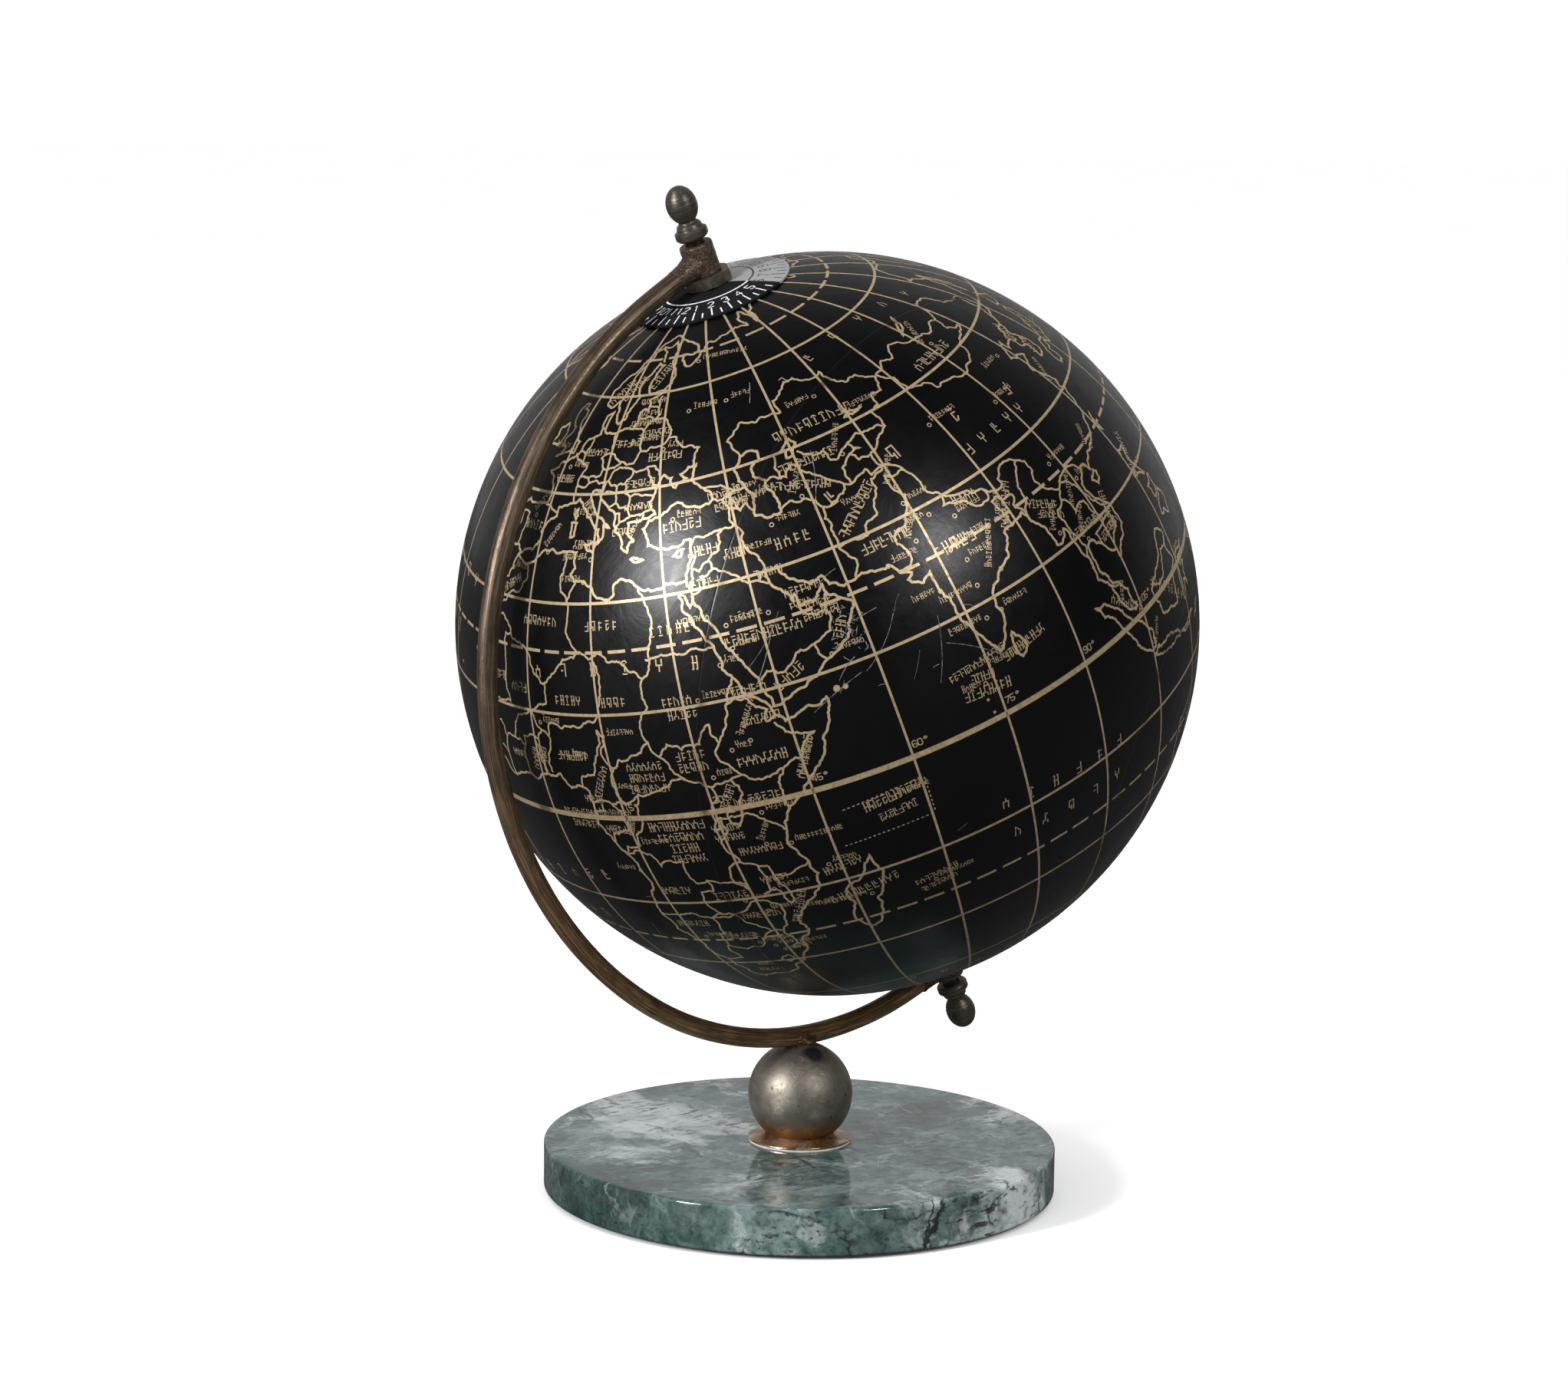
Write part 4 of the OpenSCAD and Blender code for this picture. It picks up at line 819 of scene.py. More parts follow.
def paper_black():
    look = Look("globe_paper", Specular_IOR_Level=0.3)
    at = look.on_axis()
    cloud = look.noise(at, 22, 5, 0.6, 0.6)
    grain = look.noise(at, 0.5, 3, 0.6)
    dust = look.noise(at, 3.2, 8, 0.75, 1.2)
    x, y, z = look.split(at)[:3]
    seam = look.ramp(look.math("MULTIPLY", from_seam(look, x, y), 0.5), (0.0, 0.0), (0.14, 1.0))
    speck = look.ramp(dust, (0.66, 0.0), (0.78, 1.0))
    base = look.mix(cloud, (0.0005, 0.0005, 0.0007), (0.0014, 0.0014, 0.0019))
    base = look.mix(look.math("MULTIPLY", speck, 0.2), base, (0.02, 0.02, 0.024))
    look.colour(look.mix(seam, (0.004, 0.004, 0.005), base))
    wear = look.ramp(look.noise(at, 9, 8, 0.7, 0.8), (0.35, 0.25), (0.7, 0.38))
    worn = look.mix(look.math("MULTIPLY", grain, 0.4), wear, (0.42, 0.42, 0.42))
    across = look.math("SQRT", look.math("ADD", look.math("MULTIPLY", x, x), look.math("MULTIPLY", y, y)))
    rubbed = look.ramp(look.math("MULTIPLY", across, 0.01), (0.44, 1.0), (0.7, 0.0))
    look.rough(look.mix(rubbed, worn, (0.95, 0.95, 0.95)))
    look.bump(look.noise(at, 0.35, 2, 0.5), 0.010)
    look.bump(cloud, 0.25)
    look.bump(seam, 0.05)
    return look.material


def foil():
    look = Look("gold_foil", Metallic=0.58)
    at = look.on_axis()
    cloud = look.noise(at, 16, 4, 0.6, 0.5)
    rub = look.ramp(look.noise(at, 1.3, 6, 0.75, 0.6), (0.3, 0.0), (0.62, 1.0))
    gold = look.mix(cloud, (0.50, 0.375, 0.22), (0.64, 0.51, 0.32))
    gold = look.mix(rub, (0.30, 0.22, 0.125), gold)
    x, y, z = look.split(look.warp(at, look.noise(at, 8, 5, kind="Color"), 2.5))[:3]
    seam = from_seam(look, x, y)
    # Painted shade: the foil darkens to brown in patchy bands along the gore seams, standing for the shade of the
    # creased paper there.
    crease_shade = look.ramp(look.math("MULTIPLY", seam, 0.3), (0.1, 1.0), (0.55, 0.0))
    hold = look.ramp(look.noise(at, 5, 5, 0.7), (0.4, 0.15), (0.6, 0.9))
    look.colour(look.mix(look.math("MULTIPLY", crease_shade, hold), gold, (0.10, 0.062, 0.032)))
    look.rough(look.mix(rub, (0.55, 0.55, 0.55), (0.36, 0.36, 0.36)))
    look.bump(look.noise(at, 0.45, 3, 0.6), 0.02)
    return look.material


def scratch_mark():
    look = Look("scratched_paper")
    at = look.where()
    look.colour(look.ramp(look.noise(at, 1.5, 4), (0.35, (0.02, 0.02, 0.022)), (0.65, (0.22, 0.22, 0.23))))
    look.rough(look.ramp(look.noise(at, 0.6, 3), (0.3, 0.45), (0.7, 0.7)))
    look.bump(look.noise(at, 0.3, 3), 0.02)
    return look.material


def dial_plate(name, dark, light, sheen):
    look = Look(name, Metallic=sheen, Specular_IOR_Level=0.0)
    at = look.where()
    cloud = look.noise(at, 5, 5, 0.6)
    look.colour(look.mix(cloud, dark, light))
    look.rough(look.ramp(look.noise(at, 0.8, 5, 0.7), (0.3, 0.58), (0.7, 0.72)))
    look.bump(look.noise(at, 0.3, 2), 0.006)
    return look.material


def dial_ink(name, dark, light):
    look = Look(name)
    at = look.where()
    look.colour(look.ramp(look.noise(at, 0.7, 4, 0.7), (0.3, dark), (0.6, light)))
    look.rough(look.ramp(look.noise(at, 2, 3), (0.3, 0.4), (0.7, 0.6)))
    look.bump(look.noise(at, 0.4, 2), 0.01)
    return look.material


def aged_metal(
    name, deep, middle, bright, streak=None, size=3.0, pits=0.0, rough=(0.3, 0.5), rings=0.0, rub=0.75, metal=0.72, warm_tone_and_painted_highlight=None
):
    """Worn metal: cloudy tarnish, rubbed bright grain, fine lines along streak, and, between two runs, a warmer tone
    and a painted golden highlight on the rubbed lines.
    """
    look = Look(name, Metallic=metal)
    at = look.where(attribute="along")
    cloud = look.noise(at, size, 6, 0.65, 0.5)
    lines = look.noise(look.where(scale=streak or (1, 1, 1), attribute="along"), 0.4, 5, 0.65, 0.1)
    tone = look.mix(look.ramp(cloud, (0.3, 0.0), (0.7, 1.0)), deep, middle)
    # Between the two runs the rubbed lines turn bright gold: a painted highlight for the light the lower bar catches.
    # The warmer tone there is the metal's own colour.
    if warm_tone_and_painted_highlight:
        start, end, warm, painted_glint_gold = warm_tone_and_painted_highlight
        place = look.math("MULTIPLY", look.math("SUBTRACT", look.split(at)[0], start), 1 / (end - start), clamp=True)
        tone = look.mix(look.math("MULTIPLY", place, cloud), tone, warm)
        bright = look.mix(place, bright, painted_glint_gold)
    rubbed = look.ramp(lines, (0.48, 0.0), (0.68, 1.0))
    look.colour(look.mix(look.math("MULTIPLY", rubbed, rub), tone, bright))
    look.rough(look.mix(lines, (rough[1],) * 3, (rough[0],) * 3))
    look.bump(lines, 0.03)
    if rings:
        look.bump(look.noise(look.where(scale=(0.02, 1, 0.02), attribute="along"), 0.16, 2, 0.5), rings)
    if pits:
        holes = look.ramp(look.noise(at, 0.55, 5, 0.7, 0.4), (0.3, 0.0), (0.5, 1.0))
        look.bump(holes, pits)
    return look.material


def braze_metal():
    look = Look("braze_metal", Metallic=0.85)
    at = look.where()
    cloud = look.noise(at, 1.6, 6, 0.7, 1.0)
    look.colour(look.ramp(cloud, (0.3, (0.04, 0.022, 0.012)), (0.52, (0.17, 0.095, 0.045)), (0.70, (0.58, 0.38, 0.17))))
    look.rough(look.ramp(look.noise(at, 0.7, 4), (0.3, 0.28), (0.7, 0.55)))
    look.bump(look.noise(at, 0.8, 5, 0.7, 0.8), 0.18)
    return look.material


def worn_nickel():
    look = Look("worn_nickel", Metallic=0.95)
    at = look.where()
    x, y, z = look.split(at)[:3]
    cloud = look.noise(at, 7, 6, 0.65, 0.8)
    base = look.ramp(cloud, (0.25, (0.15, 0.135, 0.113)), (0.55, (0.27, 0.245, 0.205)), (0.8, (0.38, 0.35, 0.30)))
    low = look.math("ADD", z, look.math("MULTIPLY", look.math("SUBTRACT", look.noise(at, 3, 4), 0.5), 5.0))
    amber = look.ramp(look.math("MULTIPLY", look.math("SUBTRACT", 22.5, low), 0.2, clamp=True), (0.0, 0.0), (0.9, 1.0))
    base = look.mix(amber, base, (0.23, 0.125, 0.045))
    brass = look.ramp(look.noise(at, 4.5, 8, 0.75, 1.5), (0.6, 0.0), (0.65, 1.0))
    base = look.mix(look.math("MULTIPLY", brass, 0.75), base, (0.68, 0.50, 0.28))
    spots = look.ramp(look.cells(look.warp(at, look.noise(at, 0.8, 3, kind="Color"), 0.6), 3.8), (0.07, 1.0), (0.15, 0.0))
    base = look.mix(look.math("MULTIPLY", spots, 0.8), base, (0.045, 0.04, 0.04))
    stain = look.add("ShaderNodeVectorMath", operation="DISTANCE")
    look.put(stain.inputs[0], look.warp(at, look.noise(at, 4, 4, kind="Color"), 3.0))
    stain.inputs[1].default_value = (0.8, -5.5, 40.6)
    blue = look.ramp(look.math("MULTIPLY", stain.outputs["Value"], 0.1), (0.22, 1.0), (0.38, 0.0))
    base = look.mix(look.math("MULTIPLY", blue, 0.9), base, (0.03, 0.03, 0.045))
    look.colour(base)
    look.rough(look.ramp(look.noise(at, 2.2, 7, 0.7), (0.3, 0.42), (0.7, 0.58)))
    look.bump(look.ramp(look.noise(at, 0.7, 4, 0.65), (0.32, 0.0), (0.45, 1.0)), 0.02)
    look.bump(spots, -0.05)
    look.bump(look.noise(at, 5, 3), 0.08)
    return look.material


def copper_plate():
    look = Look("copper_plate", Metallic=0.9)
    at = look.where()
    cloud = look.noise(at, 3, 6, 0.7, 0.8)
    base = look.ramp(cloud, (0.3, (0.16, 0.08, 0.033)), (0.55, (0.38, 0.235, 0.115)), (0.75, (0.60, 0.43, 0.26)))
    worn = look.ramp(look.noise(at, 6, 6, 0.7, 1.0), (0.48, 0.0), (0.6, 1.0))
    look.colour(look.mix(look.math("MULTIPLY", worn, 0.75), base, (0.72, 0.56, 0.47)))
    look.rough(look.ramp(look.noise(at, 1.5, 5, 0.7), (0.3, 0.16), (0.7, 0.42)))
    look.bump(look.noise(at, 0.8, 4), 0.03)
    return look.material


def near(look, at, centre, reach):
    """1 at a place in mm, falling to 0 at reach mm from it."""
    away = look.add("ShaderNodeVectorMath", operation="DISTANCE")
    look.put(away.inputs[0], at)
    away.inputs[1].default_value = centre
    return look.math("SUBTRACT", 1.0, look.math("MULTIPLY", away.outputs["Value"], 1 / reach), clamp=True)


def along_crack(look, at, facing, offset, width):
    """1 on a plane, falling to 0 at width mm from it. The plane faces along facing, offset mm from the origin."""
    across = look.add("ShaderNodeVectorMath", operation="DOT_PRODUCT")
    look.put(across.inputs[0], at)
    across.inputs[1].default_value = facing
    off = look.math("ABSOLUTE", look.math("SUBTRACT", across.outputs["Value"], offset))
    return look.math("SUBTRACT", 1.0, look.math("MULTIPLY", off, 1 / width), clamp=True)


def marble():
    look = Look("green_marble", IOR=1.5, Coat_Weight=0.25, Coat_Roughness=0.04)
    at = look.where()
    big = look.noise(at, 34, 4, 0.6, 0.4, kind="Color")
    fine = look.noise(at, 7, 7, 0.68, 0.3, kind="Color")
    bent = look.warp(look.warp(at, big, 34), fine, 9)
    torn = look.warp(at, fine, 22)
    pale, deep = 0.0, 0.0
    for centre, reach in WHITE_AREAS:
        pale = look.math("MAXIMUM", pale, near(look, torn, centre, reach))
    for centre, reach in DARK_AREAS:
        deep = look.math("MAXIMUM", deep, near(look, torn, centre, reach))
    shift = look.math("SUBTRACT", look.math("MULTIPLY", pale, 0.25), look.math("MULTIPLY", deep, 0.24))
    body = look.math("ADD", look.noise(bent, 17, 9, 0.66, 0.3), look.math("MULTIPLY", shift, 0.8))
    base = look.ramp(
        body,
        (0.33, (0.005, 0.019, 0.017)),
        (0.44, (0.016, 0.044, 0.039)),
        (0.52, (0.054, 0.096, 0.092)),
        (0.64, (0.165, 0.215, 0.213)),
    )
    whites = look.math("ADD", look.noise(bent, 26, 9, 0.66, 0.4), shift)
    cloud = look.ramp(whites, (0.535, 0.0), (0.60, 0.5), (0.68, 1.0))
    base = look.mix(look.math("MULTIPLY", cloud, 0.92), base, (0.62, 0.66, 0.66))
    mottle = look.ramp(look.noise(look.warp(at, fine, 4), 3.4, 8, 0.7, 0.4), (0.34, 0.0), (0.66, 1.0))
    share = look.math("SUBTRACT", 0.32, look.math("MULTIPLY", deep, 0.34), clamp=True)
    base = look.mix(share, base, look.mix(mottle, (0.012, 0.036, 0.032), (0.29, 0.35, 0.34)))
    veins = look.cells(look.warp(bent, look.noise(at, 5, 5, kind="Color"), 4), 24, "DISTANCE_TO_EDGE")
    fade = look.ramp(look.noise(at, 13, 4), (0.5, 0.0), (0.64, 1.0))
    white = look.math("MULTIPLY", look.ramp(veins, (0.0, 1.0), (0.03, 0.0)), look.math("MULTIPLY", fade, 0.35))
    base = look.mix(white, base, (0.50, 0.56, 0.56))
    streaked = look.where(scale=(1.0, 0.35, 1.0), turn=(12, 24, 35))
    cracks = look.cells(look.warp(streaked, look.noise(at, 4, 6, kind="Color"), 5), 15, "DISTANCE_TO_EDGE")
    hold = look.ramp(look.noise(at, 12, 5, 0.6), (0.49, 0.0), (0.58, 1.0))
    dark = look.math("MULTIPLY", look.ramp(cracks, (0.0, 1.0), (0.045, 0.0)), hold)
    jagged = look.warp(at, look.noise(at, 4, 7, 0.7, kind="Color"), 9)
    for facing, offset, width in ((0.83, 0, -0.56), -10.5, 1.1), ((0.97, 0, -0.22), -9.4, 0.7), ((0.35, 0, 0.94), 1.6, 0.7):
        crack = look.math("MULTIPLY", along_crack(look, jagged, facing, offset, width), near(look, at, (-9, -69, 6), 12))
        dark = look.math("MAXIMUM", dark, look.math("MULTIPLY", crack, 3.0, clamp=True))
    base = look.mix(look.math("MULTIPLY", dark, 0.92), base, (0.004, 0.009, 0.009))
    dashes = look.where(scale=(0.22, 1, 1), turn=(0, 0, 34))
    fleck = look.ramp(look.noise(look.warp(dashes, fine, 1.5), 1.3, 4, 0.6), (0.54, 0.0), (0.62, 1.0))
    patch = look.ramp(look.noise(at, 20, 4, 0.6), (0.42, 0.1), (0.58, 1.0))
    base = look.mix(look.math("MULTIPLY", fleck, look.math("MULTIPLY", patch, 0.9)), base, (0.018, 0.017, 0.018))
    look.colour(base)
    look.rough(look.ramp(look.noise(at, 4, 6, 0.7), (0.3, 0.06), (0.75, 0.16)))
    look.bump(look.noise(at, 30, 2), 0.06)
    look.bump(dark, -0.04)
    return look.material


def felt():
    look = Look("green_felt", Sheen_Weight=0.5, Sheen_Roughness=0.5)
    at = look.where()
    fuzz = look.noise(at, 0.35, 5, 0.7)
    look.colour(look.ramp(fuzz, (0.3, (0.010, 0.030, 0.018)), (0.7, (0.035, 0.085, 0.052))))
    look.rough(look.ramp(fuzz, (0.3, 0.85), (0.7, 1.0)))
    look.bump(fuzz, 0.2)
    return look.material


def plain_metal(name, deep, bright, rough=(0.25, 0.45), metal=0.95):
    look = Look(name, Metallic=metal)
    at = look.where()
    cloud = look.noise(at, 2.5, 6, 0.65, 0.4)
    look.colour(look.ramp(cloud, (0.3, deep), (0.7, bright)))
    look.rough(look.ramp(look.noise(at, 0.9, 5), (0.3, rough[0]), (0.7, rough[1])))
    look.bump(look.noise(at, 0.4, 4), 0.02)
    return look.material


def dull_polymer(name, deep, bright):
    look = Look(name)
    at = look.where()
    look.colour(look.ramp(look.noise(at, 1.5, 5), (0.3, deep), (0.7, bright)))
    look.rough(look.ramp(look.noise(at, 0.6, 4), (0.3, 0.45), (0.7, 0.7)))
    look.bump(look.noise(at, 0.4, 3), 0.03)
    return look.material


# Where the stone is palest and deepest, in mm, and how far each area reaches
WHITE_AREAS = (
    ((-3, 47, 13.7), 30),
    ((-17, 52, 13.7), 22),
    ((-39, 24, 13.7), 22),
    ((27, -64, 8), 25),
    ((37, -58, 12), 22),
    ((-54, -43, 8), 13),
    ((-36, -59, 7), 14),
    ((44, 20, 13.7), 16),
)
DARK_AREAS = (
    ((-69, 10, 5), 44),
    ((-68, -16, 3), 30),
    ((-24, -66, 2), 24),
    ((-4, -70, 2), 17),
    ((-48, -50, 2), 12),
)

PAPER = paper_black()
FOIL = foil()
BRONZE = aged_metal(
    "bronzed_steel",
    (0.036, 0.024, 0.017),
    (0.105, 0.074, 0.049),
    (0.33, 0.25, 0.165),
    (0.03, 1, 1),
    8,
    0.02,
    (0.28, 0.46),
    0,
    0.55,
    # The bar's lower run gets a warmer tone and a painted golden highlight on its rubbed lines.
    warm_tone_and_painted_highlight=(130, 220, (0.24, 0.14, 0.065), (0.90, 0.56, 0.26)),
)
BARREL = aged_metal(
    "rusty_barrel", (0.026, 0.017, 0.012), (0.085, 0.056, 0.038), (0.36, 0.27, 0.20), None, 3.2, 0.1, (0.3, 0.5)
)
FINIAL = aged_metal(
    "finial_metal", (0.04, 0.036, 0.031), (0.115, 0.10, 0.082), (0.26, 0.23, 0.19), (0.04, 1, 0.04), 3, 0.015, (0.26, 0.42), 0.05, 0.45
)
NUT = plain_metal("nut_metal", (0.065, 0.055, 0.042), (0.20, 0.175, 0.14), (0.3, 0.45), 0.85)
BRAZE = braze_metal()


# ---------------------------------------------------------------- globe


def half_skin(name):
    hole = 5.05
    inner = 97.8
    outer = [
        (GLOBE_R * math.sin(a), GLOBE_R * math.cos(a))
        for a in (math.asin(hole / GLOBE_R) + (math.pi / 2 - math.asin(hole / GLOBE_R)) * i / 96 for i in range(97))
    ]
    back = [
        (inner * math.sin(a), inner * math.cos(a))
        for a in (math.pi / 2 - (math.pi / 2 - math.asin(hole / inner)) * i / 24 for i in range(25))
    ]
    return lathe(name, outer + back, 288, closed=True, crease=60)


show("north_skin", half_skin("north_skin"), ON_AXIS, "globe", PAPER, ["north_hemisphere"])
show("south_skin", half_skin("south_skin"), ON_SOUTH_AXIS, "globe", PAPER, ["south_hemisphere"])
for piece_name, piece_mesh in zip(("foil_grid", "foil_land", "foil_names"), make_map()):
    show(piece_name, piece_mesh, ON_AXIS, "globe", FOIL)

scratches = Ribbons(GLOBE_R + 0.045)
for _ in range(46):
    if CHANCE.random() < 0.5:
        lon, lat = CHANCE.gauss(58, 9), CHANCE.gauss(15, 6)
    else:
        lon, lat = CHANCE.uniform(-180, 180), CHANCE.uniform(-50, 60)
    heading, length, bend = CHANCE.uniform(-0.5, 1.2), CHANCE.choice((1, 1.5, 2, 4, 9)), CHANCE.uniform(-0.25, 0.25)
    track = []
    for i in range(9):
        t = i / 8 * length
        turn = heading + bend * i / 8
        track.append(print_place(lon + t * math.cos(turn), lat + t * math.sin(turn)))
    scratches.line(track, CHANCE.uniform(0.07, 0.16))
for _ in range(34):
    lon, lat = CHANCE.gauss(57.5, 1.1), CHANCE.gauss(19, 1.5)
    scratches.line([print_place(lon + CHANCE.uniform(-0.5, 0.5), lat + CHANCE.uniform(-0.5, 0.5)) for _ in range(3)], 0.16)
show("skin_scratches", scratches.mesh("skin_scratches"), ON_AXIS, "globe", scratch_mark())


# ---------------------------------------------------------------- hour dial

DIAL_R = 100.8
DIAL_UNDER = 100.3
DIAL_EDGE = 21.2
DIAL_HOLE = 2.6
SIX_AT = 292
dial_points, dial_faces, dial_parts = [], [], []
dial_rows = [(r, math.sqrt(DIAL_R**2 - r * r)) for r in [DIAL_HOLE + (DIAL_EDGE - DIAL_HOLE) * i / 24 for i in range(25)]]
dial_rows += [(r, math.sqrt(DIAL_UNDER**2 - r * r)) for r, _ in reversed(dial_rows)]
DIAL_SIDES = 144
for r, h in dial_rows:
    for k in range(DIAL_SIDES):
        a = math.radians(SIX_AT) + 2 * math.pi * k / DIAL_SIDES
        dial_points.append((r * math.cos(a), r * math.sin(a), h))
for i in range(len(dial_rows)):
    j = (i + 1) % len(dial_rows)
    for k in range(DIAL_SIDES):
        n = (k + 1) % DIAL_SIDES
        dial_faces.append([i * DIAL_SIDES + k, i * DIAL_SIDES + n, j * DIAL_SIDES + n, j * DIAL_SIDES + k])
        dial_parts.append(1 if k < DIAL_SIDES / 2 else 0)
show(
    "dial_plate",
    mesh_of("dial_plate", dial_points, dial_faces, 40, material_of=dial_parts),
    ON_AXIS,
    "dial",
    [
        dial_plate("dial_night", (0.006, 0.006, 0.007), (0.014, 0.014, 0.016), 0.0),
        dial_plate("dial_day", (0.17, 0.17, 0.175), (0.25, 0.25, 0.25), 0.0),
    ],
    ["hour_dial"],
)


def on_dial(radius, degrees):
    a = math.radians(degrees)
    return Vector((radius * math.cos(a), radius * math.sin(a), math.sqrt(DIAL_R**2 - radius**2))).normalized()


light_ink, dark_ink = Ribbons(DIAL_R + 0.02), Ribbons(DIAL_R + 0.02)
RING_AT, HOURS_AT, TICK_END = 11.9, 15.0, 20.7
for ink, start in ((light_ink, SIX_AT - 180), (dark_ink, SIX_AT)):
    ink.line([on_dial(RING_AT, start + 2 * i) for i in range(91)], 0.5)
for half_hour in range(48):
    turn = SIX_AT + half_hour * 7.5
    ink = dark_ink if half_hour <= 24 else light_ink
    if half_hour in (0, 24):
        continue
    tick_start = 17.0 if half_hour % 2 == 0 else 18.4
    ink.line([on_dial(tick_start + (TICK_END - tick_start) * i / 6, turn) for i in range(7)], 0.36)
for hour in range(24):
    turn = SIX_AT + hour * 15
    at = on_dial(HOURS_AT, turn)
    outward = (on_dial(HOURS_AT + 0.5, turn) - on_dial(HOURS_AT - 0.5, turn)).normalized()
    ink = dark_ink if hour < 12 else light_ink
    shown = str((hour + 5) % 12 + 1)
    write(ink, [DIGITS[c] for c in shown], at, at.cross(-outward).normalized() * -1, -outward, 2.8, 0.4, 0.31, narrow=0.85)
show("dial_light_marks", light_ink.mesh("dial_light_marks"), ON_AXIS, "dial", dial_ink("dial_white_ink", (0.45, 0.45, 0.44), (0.75, 0.75, 0.74)))
show("dial_dark_marks", dark_ink.mesh("dial_dark_marks"), ON_AXIS, "dial", dial_ink("dial_black_ink", (0.006, 0.006, 0.006), (0.03, 0.03, 0.03)))


# ---------------------------------------------------------------- arm and fittings

# The bar's path repeats the part's own: a straight run, a wide curve and a tighter one, in the plane of the axis
UPPER = Vector((CENTRE.x / MM + 1.5, 0, CENTRE.z / MM - 4.5))
UPPER_R, LOWER_R, JOIN, STRAIGHT = 110.5, 95.5, 238, 123
LOWER = UPPER + (UPPER_R - LOWER_R) * Vector((math.cos(math.radians(JOIN)), 0, math.sin(math.radians(JOIN))))
BAR_R = 2.7


def on_curve(centre, radius, degrees):
    a = math.radians(degrees)
    return centre + radius * Vector((math.cos(a), 0, math.sin(a)))


def off_axis(point):
    """How far a point in mm is from the spin axis, and on which side."""
    return (point - CENTRE / MM).dot(Vector((AXIS.z, 0, -AXIS.x)))


run_start = on_curve(UPPER, UPPER_R, STRAIGHT)
run_ahead = Vector((math.sin(math.radians(STRAIGHT)), 0, -math.cos(math.radians(STRAIGHT))))
run_length = -off_axis(run_start) / (off_axis(run_start + run_ahead) - off_axis(run_start))
bar = [run_start + run_ahead * (run_length - 4.2) * (1 - i / 14) for i in range(14)]
bar += [on_curve(UPPER, UPPER_R, STRAIGHT + (JOIN - STRAIGHT) * i / 150) for i in range(151)]
degrees = JOIN
while off_axis(on_curve(LOWER, LOWER_R, degrees + 0.75)) < -4.2:
    degrees += 0.75
    bar.append(on_curve(LOWER, LOWER_R, degrees))


def hand_bent(run, angle, radius):
    """A drawn bar is never quite round: slow swells and shallow hammer marks."""
    p = Vector((run * 0.05, math.cos(angle) * 0.5, math.sin(angle) * 0.5))
    q = Vector((run * 0.22, math.cos(angle) * 1.1, math.sin(angle) * 1.1))
    return radius + 0.045 * noise.noise(p) + 0.03 * noise.noise(q) - 0.04


show("bent_bar", sweep("bent_bar", bar, BAR_R, 36, hand_bent), UPRIGHT, "stand", BRONZE, ["meridian_arm"])


def finial_piece(name, matrix, start, node):
    """Turned acorn finial with a beaded collar and a cove above it."""
    bulb_r, bulb_len, neck = 4.1, 10.4, 2.25
    low = math.asin(neck / bulb_r)
    middle = 4.9 + bulb_len / 2 * math.cos(low)
    collar = rounded(
        [(2.55, 0.0), (3.75, 0.0), (4.35, 0.6), (4.35, 2.15), (3.5, 2.75), (3.2, 3.9), (2.35, 4.6), (2.38, 5.15)],
        [0.1, 0.25, 0.15, 0.3, 0.4, 0.6],
        5,
    )
    acorn = []
    for i in range(41):
        a = low + (math.pi - low) * i / 40
        acorn.append((bulb_r * math.sin(a), middle - bulb_len / 2 * math.cos(a)))
    outline = [(r, h + start) for r, h in finer([(2.55, 2.9)] + collar + acorn[2:], 0.14)]

    def turned(angle, radius, height):
        return radius + 0.012 * math.sin(height * 23) + 0.015 * noise.noise(Vector((angle * 1.2, height * 0.8, 0))), height

    show(name, lathe(name, outline, 96, turned, 60), matrix, "stand", FINIAL, [node])


finial_piece("acorn_top", ON_AXIS, 113.7, "top_finial")
finial_piece("acorn_bottom", ON_SOUTH_AXIS, 114.4, "bottom_finial")


def threaded(name, matrix, start, end):
    """Dark thread that shows between a barrel and its finial."""
    rows = math.ceil((end - start) / 0.08)
    outline = [(2.35, start + (end - start) * i / rows) for i in range(rows + 1)]

    def cut(angle, radius, height):
        wave = (height / 0.8 - angle / (2 * math.pi)) % 1
        return radius + 0.14 - 0.55 * abs(wave - 0.5), height

    show(name, lathe(name, outline, 48, cut, 80), matrix, "stand", THREAD)


THREAD = plain_metal("thread_steel", (0.02, 0.016, 0.013), (0.10, 0.08, 0.06), (0.35, 0.55))
threaded("thread_top", ON_AXIS, 111.9, 113.9)
threaded("thread_bottom", ON_SOUTH_AXIS, 111.9, 114.6)


def lump(name, centre, size, seed, rough=0.18, squash=None, nodes=(), sides=48):
    """A bead of braze: a ball pressed to size and roughened."""
    points, faces = [], []
    rows = sides // 2
    for i in range(rows + 1):
        b = math.pi * i / rows
        for k in range(sides):
            a = 2 * math.pi * k / sides
            n = Vector((math.sin(b) * math.cos(a), math.sin(b) * math.sin(a), math.cos(b)))
            grow = 1 + rough * noise.noise(n * 1.7 + Vector((seed, 0, 0))) + rough * 0.5 * noise.noise(n * 4.3 + Vector((0, seed, 0)))
            points.append([c + s * v * grow for c, s, v in zip(centre, size, n)])
    for i in range(rows):
        for k in range(sides):
            n = (k + 1) % sides
            faces.append([i * sides + k, i * sides + n, (i + 1) * sides + n, (i + 1) * sides + k])
    mesh = mesh_of(name, points, faces, None)
    return show(name, mesh, UPRIGHT, "stand", BRAZE, nodes)


lowest, highest = [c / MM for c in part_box("arm_weld")]
middle = (lowest + highest) / 2
lump("weld_bead", (0.3, 0, middle.z - 0.35), (4.9, 3.7, 1.7), 3.1, 0.34, nodes=["arm_weld"])


